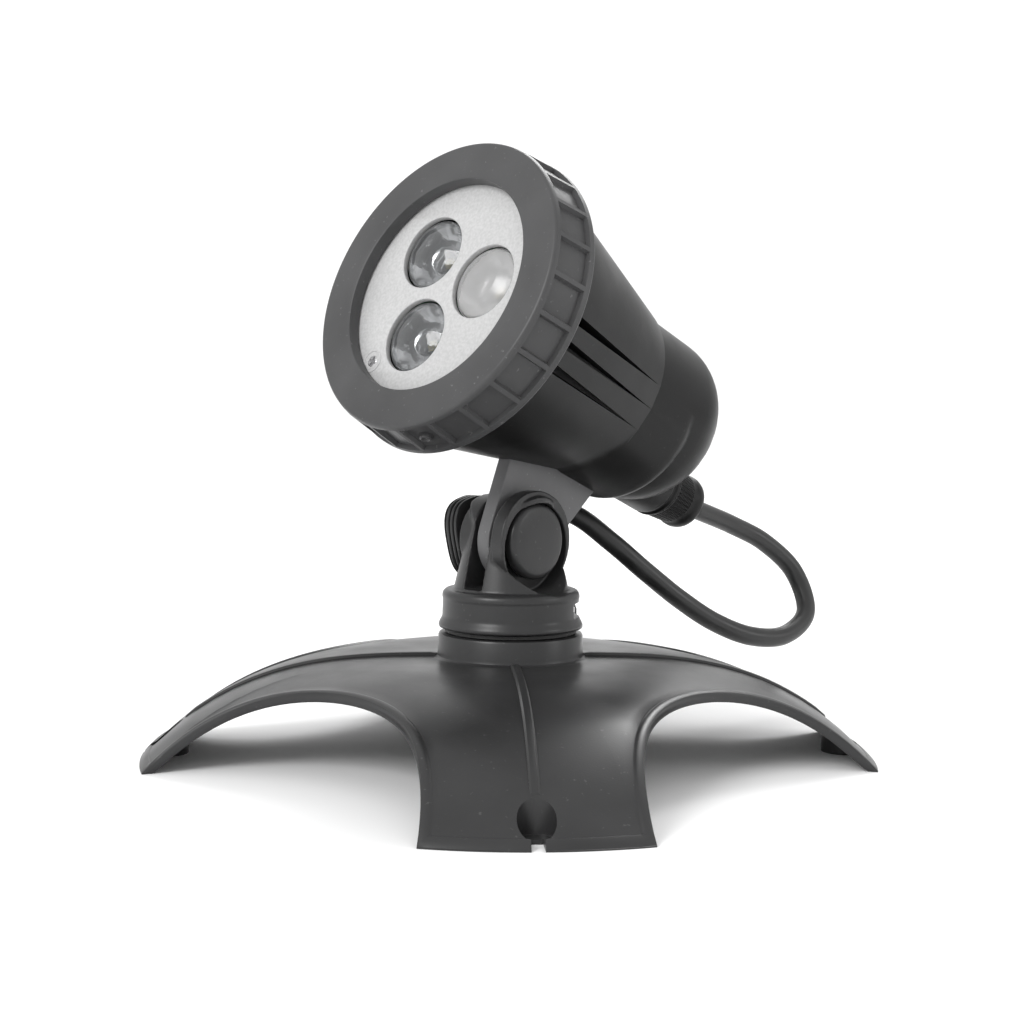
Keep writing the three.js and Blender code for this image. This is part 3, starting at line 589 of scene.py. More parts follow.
def cords():
    inside = [lamp_point(0, y, -GLAND_DROP) for y in GLAND_STEPS]
    steps = 14
    hank = hank_points()
    whole = catmull([*inside, *(Vector(p) for p in ROUTE), *hank], steps)
    over = steps * (len(GLAND_STEPS) + ROUTE.index(HOOK))
    down = steps * (len(GLAND_STEPS) + ROUTE.index(HOOK) + 3)
    loop, drop, tail = whole[:over + 1], whole[over:down + 1], whole[down:]
    exit_point = lamp_point(0, 112.7, -GLAND_DROP) * MM

    pieces = [(tube("lead_loop", loop), loop, "head", "cord_loop", exit_point, "object"),
              (tube("lead_drop", drop), drop, None, "cord_drop", drop[0] * MM, "object")]
    for piece, path, body, node, exit_at, far_end in pieces:
        dressed(piece, SHEATH, body, (node,))
    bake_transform(pieces[1][0])

    lying = tube("lead_tail", tail)
    dressed(lying, SHEATH, None, ("cord_tail", "cord_hank"))
    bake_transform(lying)
    plug()


def plug():
    """The lead's waterproof connector, lying inside the hank, and the tie round the hank."""
    place = HANK @ Matrix.Translation(PLUG_REAR)
    body = lathe("connector_body", [(0, 0), (3.2, 0), (4.4, 10), (5.7, 11), (5.7, 22), (4.3, 22.5), (4.3, 38),
                                    (3.4, 38), (3.4, 34), (0, 34)], place, 64, "Y")
    pins = [lathe("pin", [(0, 33), (0.8, 33), (0.8, 41.6), (0.4, 42), (0, 42)],
                  place @ Matrix.Translation((x, 0, 0)), 20, "Y", 0.1) for x in (-1.7, 1.7)]
    ring = knurled("connector_ring", [(4.6, 23), (5.9, 23), (6.1, 23.6), (6.1, 35.4), (5.9, 36), (4.6, 36)],
                   24, 0.22, place)
    tie = strap_round_hank()
    dressed(body, BLACK, "base", ("cord_plug",))
    dressed(joined("connector_pins", pins), BRASS, "base")
    dressed(ring, BLACK, "base", ("plug_ring",))
    dressed(tie, STRAP, "base", ("hank_tie",))
    return [body, bpy.data.objects["connector_pins"], ring, tie]


def strap_round_hank():
    """A flat strap round the whole hank, a little dished between its edges."""
    low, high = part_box("hank_tie")
    top = high.z / MM
    half, base = TIE_HALF, 0.02
    section = []
    corner = 1.6
    for cx, cz, start in ((half - corner, base + corner, -90), (half - corner, top - corner, 0),
                          (-half + corner, top - corner, 90), (-half + corner, base + corner, 180)):
        for i in range(7):
            a = math.radians(start + 15 * i)
            section.append((cx + corner * math.cos(a), cz + corner * math.sin(a), math.cos(a), math.sin(a)))
    rows = []
    for y, depth in ((-3.4, 0.1), (-3.1, 0.0), (0, 0.12), (3.1, 0.0), (3.4, 0.1), (3.4, 0.5), (0, 0.58),
                     (-3.4, 0.5)):
        rows.append([(x - nx * depth, y + TIE_AT, z - nz * depth) for x, z, nx, nz in section])
    verts, faces = grid(rows, closed_rows=True)
    return mesh_object("hank_strap", verts, faces, HANK)


def knurled(name, profile, teeth, depth, place):
    """A ring turned about the lamp axis whose outside carries lengthwise ridges."""
    points = rounded(profile, 0.2)
    outside = max(r for r, _ in points)
    count = teeth * 6
    rows = []
    for r, y in points:
        row = []
        for j in range(count):
            angle = 2 * math.pi * j / count
            wave = 0.5 - 0.5 * math.cos(teeth * angle)
            radius = r - depth * wave * (r > outside - 0.35)
            row.append((radius * math.cos(angle), y, -radius * math.sin(angle)))
        rows.append(row)
    verts, faces = grid(rows, closed_rows=True)
    return mesh_object(name, verts, faces, place)


cords()


# ---------------------------------------------------------------- base
def skin_height(r):
    t = max(0.0, (r - COLLAR_RADIUS) / (BASE_RADIUS - COLLAR_RADIUS))
    return DOME_HEIGHT * (1 - t ** DOME_POWER)


def base_outline():
    """Points round the base's edge: the leg tips' arcs and the round cut-outs, evenly spaced."""
    meet = math.acos((BASE_RADIUS ** 2 + CUT_DISTANCE ** 2 - CUT_RADIUS ** 2) / (2 * BASE_RADIUS * CUT_DISTANCE))
    tip_half = math.pi / 4 - meet
    across = BASE_RADIUS * math.sin(meet)
    sweep = math.asin(across / CUT_RADIUS)
    points = []
    tip_steps, cut_steps = 18, 44
    for leg in range(4):
        axis = -math.pi / 2 + leg * math.pi / 2
        for i in range(tip_steps):
            a = axis - tip_half + 2 * tip_half * i / tip_steps
            points.append(Vector((BASE_RADIUS * math.cos(a), BASE_RADIUS * math.sin(a))))
        diagonal = axis + math.pi / 4
        centre = Vector((CUT_DISTANCE * math.cos(diagonal), CUT_DISTANCE * math.sin(diagonal)))
        for i in range(cut_steps):
            a = diagonal + math.pi + sweep - 2 * sweep * i / cut_steps
            points.append(centre + CUT_RADIUS * Vector((math.cos(a), math.sin(a))))
    return points


def inset(points, distance):
    out = []
    count = len(points)
    for i, p in enumerate(points):
        before, after = points[i - 1], points[(i + 1) % count]
        one, two = (p - before).normalized(), (after - p).normalized()
        n1, n2 = Vector((-one.y, one.x)), Vector((-two.y, two.x))
        mid = (n1 + n2).normalized()
        out.append(p + mid * distance / max(0.5, mid.dot(n1)))
    return out


def base_piece():
    outline = base_outline()
    lip = [(0.0, 0.15), (0.15, 0.45), (0.6, 0.62), (1.5, 0.6), (2.0, 0.4), (2.3, 0.08), (2.6, 0.0)]
    rows = []
    for distance, rise in lip:
        rows.append([(p.x, p.y, max(0.3, skin_height(p.length) + rise - 0.25)) for p in inset(outline, distance)])
    inner = inset(outline, lip[-1][0])
    collar = [p.normalized() * (COLLAR_RADIUS + 1.6) for p in inner]
    for i in range(1, 15):
        t = i / 14
        row = []
        for a, b in zip(inner, collar):
            p = a.lerp(b, t)
            row.append((p.x, p.y, max(0.3, skin_height(p.length) - 0.25 * (1 - t))))
        rows.append(row)
    around = [p.normalized() for p in collar]
    for r, z in ((18.7, DOME_HEIGHT + 0.12), (18.2, DOME_HEIGHT + 0.5), (18.0, DOME_HEIGHT + 1.2),
                 (17.9, COLLAR_TOP - 0.6), (17.7, COLLAR_TOP - 0.15), (17.3, COLLAR_TOP), (8.4, COLLAR_TOP),
                 (8.4, DOME_HEIGHT), (3.3, DOME_HEIGHT), (3.3, DOME_HEIGHT - 3), (COLLAR_RADIUS, DOME_HEIGHT - 3)):
        rows.append([(r * d.x, r * d.y, z) for d in around])
    under_start = [d * (COLLAR_RADIUS + 3) for d in around]
    for i in range(11):
        t = i / 10
        row = []
        for a, b in zip(under_start, inset(outline, 0.35)):
            p = a.lerp(b, t)
            slope = skin_height(p.length - 0.5) - skin_height(p.length + 0.5)
            row.append((p.x, p.y, max(0.0, skin_height(p.length) - 0.25 - SKIN * math.hypot(1, slope) * 0.92)))
        rows.append(row)
    rows.append([(p.x, p.y, max(0.0, skin_height(p.length) - 1.4)) for p in outline])
    verts, faces = grid(rows, closed_rows=True)
    return mesh_object("base_shell", verts, faces)


def rib(turn):
    """A narrow rounded ridge from the collar to the pocket."""
    rows = []
    steps = 26
    for i in range(steps + 1):
        t = i / steps
        r = COLLAR_RADIUS - 0.4 + (80.2 - COLLAR_RADIUS) * t
        top = skin_height(r) + 0.95 - 0.55 * t
        if i in (0, steps):
            top -= 0.3
        half = 1.15
        section = ((half, -1.6), (half, -0.5), (half * 0.62, 0), (0, 0.12), (-half * 0.62, 0), (-half, -0.5),
                   (-half, -1.6))
        rows.append([(x, -r, top + z) for x, z in section])
    rows = [[(0, -COLLAR_RADIUS + 0.4, skin_height(COLLAR_RADIUS) - 0.4)], *rows,
            [(0, -80.1, skin_height(80.1) - 0.6)]]
    verts, faces = grid(rows)
    return mesh_object("rib", verts, faces, Matrix.Rotation(turn, 4, "Z"))


def pocket_place(turn):
    return Matrix.Rotation(turn, 4, "Z") @ Matrix.Translation((0, -POCKET_AT, 0))


def pocket_wall(turn):
    """The well under the skin, its top following the skin."""
    foot, top = [], []
    for x, y in circle(POCKET_RADIUS + 1.2, count=40):
        foot.append((x, y, 0.0))
        top.append((x, y, max(0.5, skin_height(math.hypot(x, y - POCKET_AT)) - 0.9)))
    verts, faces = grid([[(0, 0, 0)], foot, top, [(0, 0, skin_height(POCKET_AT) - 0.9)]])
    return mesh_object("wall", verts, faces, pocket_place(turn))


def pocket_hole(turn):
    hole = lathe("hole", [(0, 1), (POCKET_RADIUS, 1), (POCKET_RADIUS, 16), (0, 16)], pocket_place(turn), 48,
                 radius=0.2)
    slot = box_object("slot", (-1.4, -12, -1), (1.4, 0, 16), pocket_place(turn))
    return [hole, slot]


def base():
    shell = base_piece()
    quarter = [math.pi / 2 * i for i in range(4)]
    cut(shell, [pocket_wall(turn) for turn in quarter], "UNION")
    cut(shell, [tool for turn in quarter for tool in pocket_hole(turn)])
    whole = joined("base_shell_ribbed", [shell, *(rib(turn) for turn in quarter)])
    dressed(whole, CHARCOAL, "base", ("base_plate",))


base()


# ---------------------------------------------------------------- fork
def fork():
    foot, top = COLLAR_TOP + 1.4, 41.0
    body = lathe("fork_body", [(0, DOME_HEIGHT + 0.3), (8, DOME_HEIGHT + 0.3), (8, foot), (17.9, foot),
                               (17.9, foot + 0.9),
                               (17.0, foot + 2.6), (16.9, top - 2.2), (17.1, top - 1.8), (16.9, top - 0.7),
                               (16.2, top), (0, top)], FORK, 128, radius=0.3)
    cone = lathe("cone", [(0, top - 1), (14.5, top - 1), (12.3, 49.5), (10.4, 57), (10.2, 66), (0, 66)], FORK, 96)
    head = lathe("head", [(0, -22), (11, -22), (11, 22), (0, 22)],
                 FORK @ Matrix.Translation((0, 0, PIVOT)), 96, "X", 0)
    below = box_object("below", (-20, -20, top - 2), (20, 20, PIVOT), FORK)
    cut(head, [below], "UNION")
    cut(cone, [head], "INTERSECT")
    cheeks = [lathe("cheek", [(0, a), (r, a), (r, b), (0, b)],
                    FORK @ Matrix.Translation((0, 0, PIVOT)), 96, "X", 0)
              for a, b, r in ((4.6, 8.4, 12.4), (-8.4, -4.6, 10.0))]
    cut(body, [cone, *cheeks], "UNION")
    tools = [
        box_object("slot", (-3, -24, top + 0.6), (3, 24, 80), FORK),
        lathe("recess", [(0, 4.8), (11.1, 4.8), (11.1, 22), (0, 22)],
              FORK @ Matrix.Translation((0, 0, PIVOT - 1.6)), 96, "X", 0),
        lathe("knob_side", [(0, -30), (12.2, -30), (12.2, -8.4), (0, -8.4)],
              FORK @ Matrix.Translation((0, 0, PIVOT)), 96, "X", 0),
        lathe("pivot", [(0, -24), (3.3, -24), (3.3, 24), (0, 24)],
              FORK @ Matrix.Translation((0, 0, PIVOT)), 48, "X", 0),
        lathe("thread", [(0, 20), (3.3, 20), (3.3, 37.5), (0, 37.5)], FORK, 48, radius=0),
        box_object("detent", (15.2, -7, 34.4), (20, 7, 38), FORK @ Matrix.Rotation(math.radians(44), 4, "Z")),
    ]
    cut(body, tools)
    moulded(body, 0.32, 2)
    dressed(body, CHARCOAL, "fork", ("swivel_fork",))


def pivot_disc():
    place = FORK @ Matrix.Translation((0, 0, PIVOT))
    disc = lathe("pivot_disc", [(0, 6), (8.9, 6), (9.3, 6.7), (9.3, 8.5, 0.8), (8.3, 9.2, 0.6), (5.4, 9.55, 1.5),
                                (0, 9.7)], place, 128, "X")
    shank = lathe("shank", [(0, -15.6), (2.9, -15.6), (2.9, 6.5), (0, 6.5)], place, 48, "X")
    dressed(joined("pivot_bolt_head", [disc, shank]), CHARCOAL, "fork", ("pivot_bolt",))


def knob():
    """A stubby bar grip with raised bands round its rim."""
    inner, outer, long, short = -10.0, -16.0, 10.2, 7.4
    count = 144
    turn = math.radians(-75)  # the bar's long axis, from the fork's Y towards up

    def bulge(value):
        return math.copysign(abs(value) ** 0.7, value)

    bands = [(inner, 4.4), (inner, 3.0), (inner - 0.3, 2.6), (inner - 1.2, 2.5)]
    for k in range(3):
        start = inner - 1.35 - 1.4 * k
        bands += [(start, 0.55), (start - 0.15, 0.12), (start - 0.35, 0.0), (start - 0.75, 0.0),
                  (start - 0.95, 0.12), (start - 1.1, 0.6)]
    bands += [(outer + 0.5, 0.45), (outer + 0.35, 0.1), (outer + 0.15, 0.2), (outer, 0.7), (outer, 1.9),
              (outer + 0.35, 2.4), (outer + 0.35, 4.5)]
    rows = [[(inner, 0, 0)]]
    for x, less in bands:
        row = []
        for j in range(count):
            a = 2 * math.pi * j / count
            u, v = (long - less) * bulge(math.cos(a)), (short - less) * bulge(math.sin(a))
            row.append((x, u * math.cos(turn) - v * math.sin(turn), u * math.sin(turn) + v * math.cos(turn)))
        rows.append(row)
    rows.append([(outer + 0.35, 0, 0)])
    verts, faces = grid(rows)
    place = FORK @ Matrix.Translation((0, 0, PIVOT))
    grip = mesh_object("knob_grip", verts, faces, place)
    bore = [(0, -17), (3.3, -17), (3.3, -14.5), (4.6, -14.5), (4.6, -9), (0, -9)]
    cut(grip, [lathe("bore", bore, place, 48, "X", 0)])
    dressed(remade(grip), CHARCOAL, "knob", ("clamp_knob",))


def bracket():
    """The flat lug under the lamp, with its straight front edge and flared rear edge."""
    def underside(y):
        a = y + FACE_AHEAD
        return AXIS_ABOVE - (35 - 10.6 * (a - 12.4) / 47.6 if a < 60 else 25.6)

    arc = [math.pi + math.radians(149 * i / 40) for i in range(41)]
    outline = [(-10.3, 0)] + [(10.3 * math.cos(a), 10.3 * math.sin(a)) for a in arc[1:]]
    outline += [(23, underside(23) + 0.8), (7, underside(23) + 0.8), (6, underside(6) + 0.9),
                (-10.3, underside(-10.3) + 0.8)]
    place = HEAD @ Matrix(((0, 0, 1, 0), (1, 0, 0, 0), (0, 1, 0, 0), (0, 0, 0, 1)))
    plate = slab("bracket_plate", [outline, circle(3.3, count=40)], 4.0, place, 0.35)
    dressed(plate, BRACKET_GREY, "head", ("tilt_bracket",))


fork()
pivot_disc()
knob()
bracket()


# ---------------------------------------------------------------- housing
CONE_FRONT, CONE_REAR, CONE_END = 35.0, 24.4, 60.0
BEZEL_DEPTH = 12.4
BARREL, HOUSING_END, END_ROUND = 23.0, 97.5, 15.0
CHIN_DROP, CHIN_END = 2.6, 80.0
GROOVE_PITCH, GROOVE_HALF = 6.1, 1.15
FLANK = math.radians(-16.4)


def body_radius(a):
    if a <= CONE_END:
        return CONE_FRONT - (CONE_FRONT - CONE_REAR) * (a - BEZEL_DEPTH - 0.3) / (CONE_END - BEZEL_DEPTH - 0.3)
    if a <= CONE_END + 0.5:
        return BARREL + 0.35
    bend = a - (HOUSING_END - END_ROUND)
    if bend <= 0:
        return BARREL
    return BARREL - END_ROUND + math.sqrt(max(0.0, END_ROUND ** 2 - bend ** 2))


def chin_radius(a, angle):
    if a < CONE_END - 4 or a > CHIN_END:
        return 0.0
    bend = max(0.0, a - CHIN_END + 4)
    r = BARREL - 4 + math.sqrt(max(0.0, 16 - bend ** 2))
    return -CHIN_DROP * math.sin(angle) + math.sqrt(r ** 2 - (CHIN_DROP * math.cos(angle)) ** 2)


def groove_half(a):
    length = CONE_END - BEZEL_DEPTH - 0.9
    t = (a - BEZEL_DEPTH - 0.3) / length
    return GROOVE_HALF * max(0.05, 1 - t) if t < 1.04 else GROOVE_HALF * min(1.0, 0.05 + (t - 1.04) * 4)


def groove_floor(a):
    return 28.5 - math.tan(math.radians(5.6)) * (a - BEZEL_DEPTH - 0.3)


def flank_columns(a, radius):
    """Angles and groove flags across one flank, in order, measured from the flank's middle."""
    wall = 0.07
    columns = []
    for i in range(3):
        middle, half = (i - 1) * GROOVE_PITCH, groove_half(a)
        for offset, inside in ((-half - 0.3, 0), (-half, 0), (-half + min(wall, half * 0.4), 1), (0, 1),
                               (half - min(wall, half * 0.4), 1), (half, 0), (half + 0.3, 0)):
            columns.append((math.asin(max(-0.99, min(0.99, (middle + offset) / radius))), inside))
    return columns


def housing_row(a):
    """One ring of the housing's outside, at distance a behind the bezel's face."""
    nominal = max(body_radius(a), 12.0)
    grooved = BEZEL_DEPTH + 0.25 < a < CONE_END
    columns = []
    plain = 36
    flank_half = math.asin(min(0.98, (GROOVE_PITCH + GROOVE_HALF + 2.2) / nominal))
    right, left = FLANK, math.pi - FLANK
    for j in range(plain):
        low, high = right + flank_half, left - flank_half
        columns.append((low + (high - low) * j / (plain - 1), None))
    for angle, inside in flank_columns(a, nominal):
        columns.append((left + angle, (left, inside)))
    for j in range(plain):
        low, high = left + flank_half, right - flank_half + 2 * math.pi
        columns.append((low + (high - low) * j / (plain - 1), None))
    for angle, inside in flank_columns(a, nominal):
        columns.append((right + angle + 2 * math.pi, (right, inside)))
    row = []
    for angle, groove in columns:
        r = max(body_radius(a), chin_radius(a, angle))
        if groove and groove[1] and grooved:
            r = min(r, groove_floor(a) / math.cos(angle - groove[0]))
        row.append((r * math.cos(angle), a, r * math.sin(angle)))
    return row


def scaled_row(row, radius, a):
    out = []
    for x, _, z in row:
        length = math.hypot(x, z)
        out.append((x * radius / length, a, z * radius / length))
    return out


def housing_shell():
    stops = [BEZEL_DEPTH + 0.3, BEZEL_DEPTH + 0.6]
    stops += [BEZEL_DEPTH + 1.5 + 1.9 * i for i in range(24)]
    stops += [58.6, 59.4, 59.85, 59.95, 60.05, 60.25, 60.5, 60.6, 61.4]
    stops += [63 + 2.0 * i for i in range(7)] + [76.3, 77, 77.8, 78.5, 79, 79.4, 79.7, 79.9, 80, 80.1]
    stops += [HOUSING_END - END_ROUND + END_ROUND * math.sin(math.pi / 2 * i / 14) for i in range(14)]
    outside = [housing_row(a) for a in sorted(set(stops))]
    first = outside[0]
    rows = [[(0, 94.9, 0)]]
    for radius, a in ((8, 94.9), (14, 94.2), (18, 91), (20.4, 84), (20.4, 62), (21.4, 60), (26.6, 15.6), (28.2, 14),
                      (28.6, 13.6), (28.6, 7.8), (31.4, 7.8), (31.6, 8.1), (31.6, BEZEL_DEPTH + 0.1),
                      (31.8, BEZEL_DEPTH + 0.3)):
        rows.append(scaled_row(first, radius, a))
    rows += outside
    flat = [(r, HOUSING_END) for r in (6.0,)]
    rows += [scaled_row(first, r, a) for r, a in flat]
    rows.append([(0, HOUSING_END, 0)])
    verts, faces = grid(rows)
    return mesh_object("lamp_housing", verts, faces, LAMP, smooth_angle=24)


def gland_boss():
    """The round boss that carries the cable gland, with a bead where it meets the barrel."""
    place = LAMP @ Matrix.Translation((0, 0, -GLAND_DROP))
    return lathe("boss", [(3.3, 76), (8.4, 68), (8.4, 95.2, 0.3), (8.0, 95.8, 0.2), (8.0, 96.4, 0.2), (8.4, 97, 0.3),
                          (8.4, 97.7), (3.3, 97.7)], place, 72, "Y")


def cord_hook():
    """The moulded hook that carries the lead over behind the fork."""
    inverse = LAMP.inverted()
    at = inverse @ Vector(HOOK)
    along = (inverse.to_3x3() @ Vector((-0.97, 0.02, -0.24))).normalized()
    inward = Vector((-at.x, 0, -at.z)).normalized()
    up = (inward - along * inward.dot(along)).normalized()
    across = up.cross(along)
    place = LAMP @ Matrix.Translation(at) @ Matrix((across, up, along)).transposed().to_4x4()
    bore, outer, reach = CORD / 2 + 0.3, CORD / 2 + 2.5, 16.0
    arm = math.radians(62)
    outline = [(outer * math.cos(a), outer * math.sin(a))
               for a in (math.radians(200) + (math.radians(222) * i / 24) for i in range(25))]
    outline += [(outer * math.cos(arm), reach), (-outer * math.cos(arm), reach)]
    outline += [(outer * math.cos(a), outer * math.sin(a))
                for a in (math.pi - arm + (math.radians(140) - math.pi + arm) * i / 4 for i in range(5))]
    outline += [(bore * math.cos(a), bore * math.sin(a))
                for a in (math.radians(140) - math.radians(300) * i / 30 for i in range(31))]
    return slab("hook", [outline], 3.2, place, 0.4)


def housing():
    whole = joined("lamp_housing_shell", [housing_shell(), gland_boss(), cord_hook()])
    dressed(whole, BLACK, "head", ("housing",))


housing()


# ---------------------------------------------------------------- bezel
BEZEL_PANELS = 24


def bezel():
    """The screw ring: a broad front rim, and recessed panels between thin ribs round its side."""
    per_panel = 14
    count = BEZEL_PANELS * per_panel
    profile = [(32.1, 12.4, 0), (32.1, 3.6, 0), (32.0, 3.3, 0), (26.9, 3.3, 0), (26.8, 3.1, 0), (26.8, 0.5, 0),
               (26.9, 0.15, 0), (27.2, 0.0, 0), (31, -0.0, 0), (35.5, 0.0, 0), (35.9, 0.1, 0), (36.2, 0.4, 0),
               (36.4, 0.9, 0), (36.55, 1.5, 0), (36.6, 1.6, 1), (37.75, 10.5, 1), (37.8, 10.6, 0),
               (37.95, 11.3, 0), (38.0, 11.9, 0), (37.8, 12.25, 0), (37.4, 12.4, 0)]
    rows = []
    rib_half, slope = 0.55, 0.35
    pitch = 2 * math.pi / BEZEL_PANELS
    for r, a, recessed in profile:
        row = []
        for j in range(count):
            cell, part = divmod(j, per_panel)
            edge = rib_half / 36.5
            ramps = [-edge - slope / 36.5, -edge, edge, edge + slope / 36.5]
            if part < 4:
                local = ramps[part]
            else:
                local = ramps[3] + (pitch - ramps[3] + ramps[0]) * (part - 3) / (per_panel - 3)
            angle = cell * pitch + local - math.radians(12.4)
            inside = recessed and (part == 0 or part >= 3)
            radius = r - (1.15 if inside else 0.0)
            row.append((radius * math.cos(angle), a, radius * math.sin(angle)))
        rows.append(row)
    verts, faces = grid(rows, closed_rows=True)
    ring = mesh_object("bezel_side", verts, faces, LAMP, smooth_angle=28)
    boss_angle = math.radians(-12.4 - 4.5 * 360 / BEZEL_PANELS)
    place = LAMP @ Matrix.Rotation(-boss_angle, 4, "Y") @ Matrix.Translation((35.0, 6.2, 0))
    boss = lathe("boss", [(0, 0), (1.5, 0), (1.5, 2.1), (1.0, 2.3), (0.6, 1.9), (0, 1.8)], place, 32, "X", 0.15)
    dressed(joined("bezel_rim", [ring, boss]), BEZEL_GREY, "bezel", ("bezel_ring",))


bezel()


# ---------------------------------------------------------------- face
LENS_CIRCLE, LENS_RADIUS = 12.5, 8.9
LENS_ANGLES = (7, 127, 247)
PLATE_DEPTH = 3.6
SCREW_AT = (-16.9, -18.2)
TO_LAMP = Matrix(((1, 0, 0, 0), (0, 0, 1, 0), (0, 1, 0, 0), (0, 0, 0, 1)))


def lens_centre(angle):
    return LENS_CIRCLE * math.cos(math.radians(angle)), LENS_CIRCLE * math.sin(math.radians(angle))


def face_plate():
    place = LAMP @ Matrix.Translation((0, PLATE_DEPTH + 0.8, 0)) @ TO_LAMP
    holes = [circle(LENS_RADIUS + 0.3, lens_centre(a), 72) for a in LENS_ANGLES]
    plate = slab("lamp_face", [circle(31.2, count=160), *holes, circle(1.3, SCREW_AT, 24)], 1.6, place, 0.25)
    collar_at = LAMP @ Matrix.Translation((SCREW_AT[0], 0, SCREW_AT[1]))
    collar = lathe("collar", [(2.5, PLATE_DEPTH + 0.2), (2.5, PLATE_DEPTH - 0.15), (3.0, PLATE_DEPTH - 0.15),
                              (3.0, PLATE_DEPTH + 0.2)], collar_at, 40, "Y", 0.12)
    dressed(joined("lamp_face_plate", [plate, collar]), FACE, "head", ("face_plate",))


def lens(number, angle):
    """A clear dome over a hollow light-gathering cone, with a thin pale bead round it."""
    x, z = lens_centre(angle)
    place = LAMP @ Matrix.Translation((x, 0, z))
    profile = [(0, 2.2), (1.6, 2.28), (3.2, 2.5), (4.8, 2.85), (6.2, 3.35), (7.4, 3.9), (8.4, 4.45), (8.8, 4.9),
               (8.9, 5.3), (8.9, 6.2), (7.9, 6.5), (6.6, 8.2), (5.3, 10.0), (4.4, 11.4), (3, 11.4), (2.8, 10.4),
               (2.6, 9.6), (1.4, 9.3), (0, 9.2)]
    dome = lathe(f"clear_lens_{number}", profile, place, 96, "Y", 0.12)
    # The first lens takes the paler lens material as painted highlight.
    dressed(dome, PAINTED_BRIGHT_LENS if number == 1 else CLEAR, "head", (f"lens_{number}",))


def reflector(number, angle):
    """The cup that each lens sits in, seen through it; dark, but pale under the first lens as painted highlight."""
    x, z = lens_centre(angle)
    place = LAMP @ Matrix.Translation((x, 0, z))
    cup = lathe(f"lens_cup_{number}", [(9.1, 5.3), (9.1, 12.6), (2.6, 12.6), (2.6, 12.0), (5.0, 11.9), (8.4, 6.9),
                                       (9.0, 6.5), (9.0, 5.3)], place, 72, "Y", 0.1)
    # The first cup takes the pale face plastic as painted highlight; the others are black.
    dressed(cup, FACE if number == 1 else BLACK, "head")


def screw():
    place = LAMP @ Matrix.Translation((SCREW_AT[0], 0, SCREW_AT[1]))
    head = lathe("screw_head", [(0, PLATE_DEPTH + 0.15), (1.2, PLATE_DEPTH), (2.0, PLATE_DEPTH + 0.35),
                                (2.0, PLATE_DEPTH + 0.8), (1.0, PLATE_DEPTH + 1.0), (1.0, 12.4), (0, 12.4)],
                 place, 40, "Y", 0.12)
    for turn in (20, 110):
        arm = box_object("arm", (-1.4, PLATE_DEPTH - 1, -0.28), (1.4, PLATE_DEPTH + 0.6, 0.28),
                         place @ Matrix.Rotation(math.radians(turn), 4, "Y"))
        cut(head, [arm])
    dressed(remade(head), STEEL, "head", ("face_screw",))


face_plate()
screw()
for index, lens_angle in enumerate(LENS_ANGLES):
    lens(index + 1, lens_angle)
    reflector(index + 1, lens_angle)


# ---------------------------------------------------------------- gland
def gland_nut():
    """A tapering nut with a fine grid knurl and a smooth rounded rear lip."""
    place = LAMP @ Matrix.Translation((0, 0, -GLAND_DROP))
    start, end = 98.0, 111.5
    teeth, pitch = 44, 0.72
    bands = int((end - 4.6 - start - 0.6) / pitch)
    profile = [(4.6, end - 2.6, 0), (4.6, start + 0.05, 0), (7.7, start + 0.05, 0), (7.95, start + 0.3, 0)]
    for k in range(bands):
        a = start + 0.6 + k * pitch
        taper = 7.95 - 0.72 * k / bands
        profile += [(taper, a, 1), (taper, a + pitch * 0.55, 1), (taper - 0.28, a + pitch * 0.72, 0),
                    (taper - 0.28, a + pitch * 0.9, 0)]
    profile += [(7.15, end - 3.6, 0), (7.3, end - 3.3, 0), (7.5, end - 2.5, 0), (7.5, end - 1.5, 0),
                (7.25, end - 0.6, 0), (6.6, end - 0.1, 0), (6.0, end, 0), (4.1, end, 0), (3.6, end - 0.3, 0),
                (3.6, end - 1.6, 0)]
    count = teeth * 4
    rows = []
    for r, a, ridged in profile:
        row = []
        for j in range(count):
            angle = 2 * math.pi * j / count
            radius = r - (0.28 if ridged and j % 4 == 0 else 0)
            row.append((radius * math.cos(angle), a, -radius * math.sin(angle)))
        rows.append(row)
    verts, faces = grid(rows, closed_rows=True)
    nut = mesh_object("cable_gland_nut", verts, faces, place, smooth_angle=40)
    dressed(nut, BLACK, "gland", ("gland_nut",))


gland_nut()

# ---------------------------------------------------------------- carried pieces
for node in ("swivel_seal", "front_seal", "gland_seal"):
    recoat(node, SEAL)
for node in ("swivel_screw", "swivel_washer", "knob_washer", "bracket_screw_1", "bracket_screw_2"):
    recoat(node, STEEL)
for node in ("led_board", "driver_board"):
    recoat(node, CIRCUIT)
for node in ("led_1", "led_2", "led_3"):
    recoat(node, PHOSPHOR)
recoat("knob_insert", BRASS)
recoat("heat_sink", ALUMINIUM)


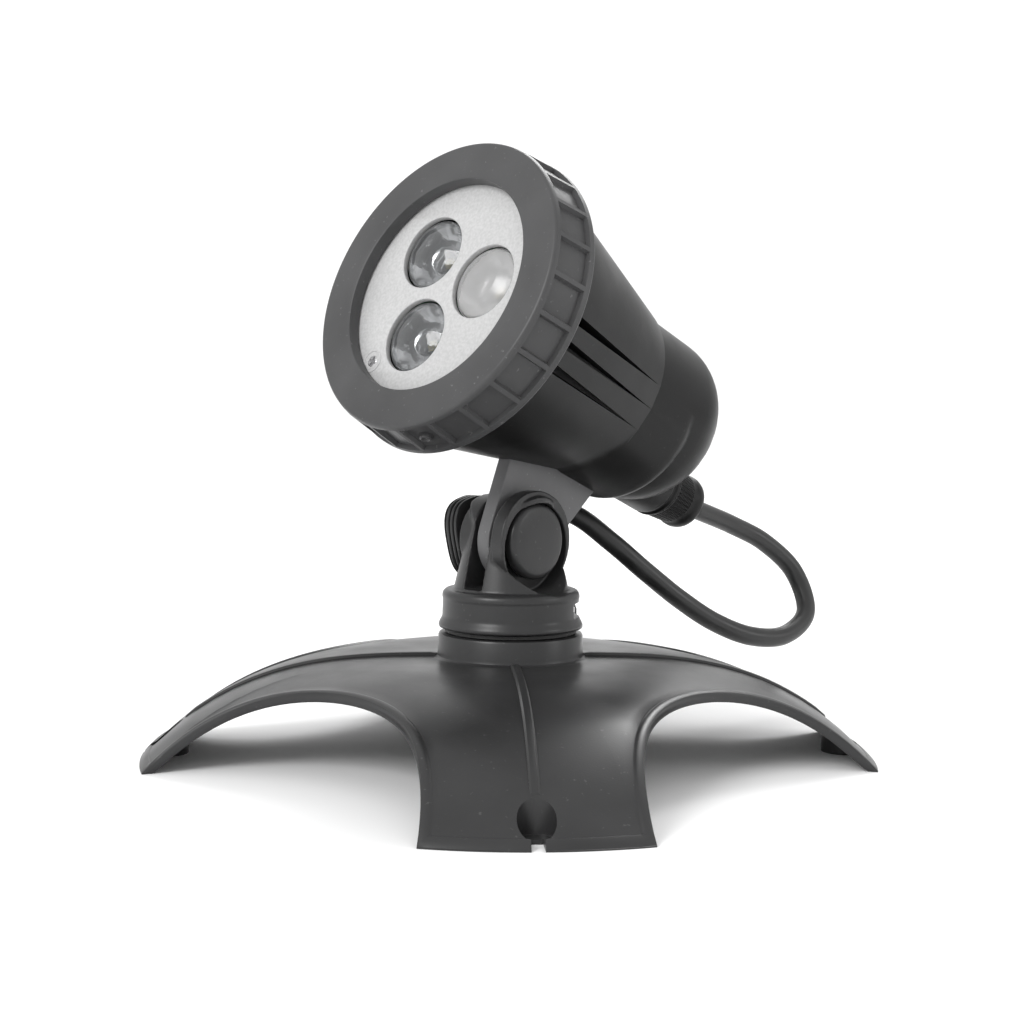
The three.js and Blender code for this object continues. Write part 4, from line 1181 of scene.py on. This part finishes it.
# ---------------------------------------------------------------- stage
def floor():
    """A paper sweep: flat under the lamp, rising in a long curve far behind it."""
    mesh = bpy.data.meshes.new("floor")
    half, start, bend, rise = 5.0, 1.2, 2.6, 6.0
    section = [(-4.0, 0), (start, 0)]
    section += [(start + bend * math.sin(math.pi / 2 * i / 24), bend - bend * math.cos(math.pi / 2 * i / 24))
                for i in range(1, 25)]
    section.append((start + bend, rise))
    verts = [(x, y, z) for y, z in section for x in (-half, half)]
    faces = [(2 * i, 2 * i + 1, 2 * i + 3, 2 * i + 2) for i in range(len(section) - 1)]
    mesh.from_pydata(verts, [], faces)
    for polygon in mesh.polygons:
        polygon.use_smooth = True
    ground = bpy.data.objects.new("floor", mesh)
    bpy.context.scene.collection.objects.link(ground)
    material, tree, shader = nodes_of("floor_paper")
    tree.links.new(ramp(tree, noise(tree, 3), [(0.3, grey(0.88)), (0.7, grey(0.9))]), shader.inputs["Base Color"])
    shader.inputs["Roughness"].default_value = 0.9
    mesh.materials.append(material)


def area_light(name, at, aim, size, power, colour=(1, 1, 1)):
    data = bpy.data.lights.new(name, "AREA")
    data.energy, data.size, data.color = power, size, colour
    lamp = bpy.data.objects.new(name, data)
    lamp.location = at
    lamp.rotation_euler = (Vector(aim) - Vector(at)).to_track_quat("-Z", "Y").to_euler()
    bpy.context.scene.collection.objects.link(lamp)


def lighting():
    world = bpy.data.worlds.new("studio")
    world.use_nodes = True
    world.node_tree.nodes["Background"].inputs["Color"].default_value = (1.0, 1.0, 1.0, 1)
    world.node_tree.nodes["Background"].inputs["Strength"].default_value = 0.9
    bpy.context.scene.world = world
    area_light("key", (-0.75, -0.75, 0.75), (0, 0, 0.06), 0.5, 9)
    area_light("side", (0.9, -0.3, 0.35), (0, 0, 0.06), 0.3, 0.8)
    area_light("back", (0.35, 0.8, 0.9), (0, 0, 0.08), 0.5, 7)
    area_light("wall", (0, 1.6, 2.4), (0, 3.4, 1.2), 2.0, 22)
    bpy.context.scene.view_settings.view_transform = "Standard"


floor()
lighting()
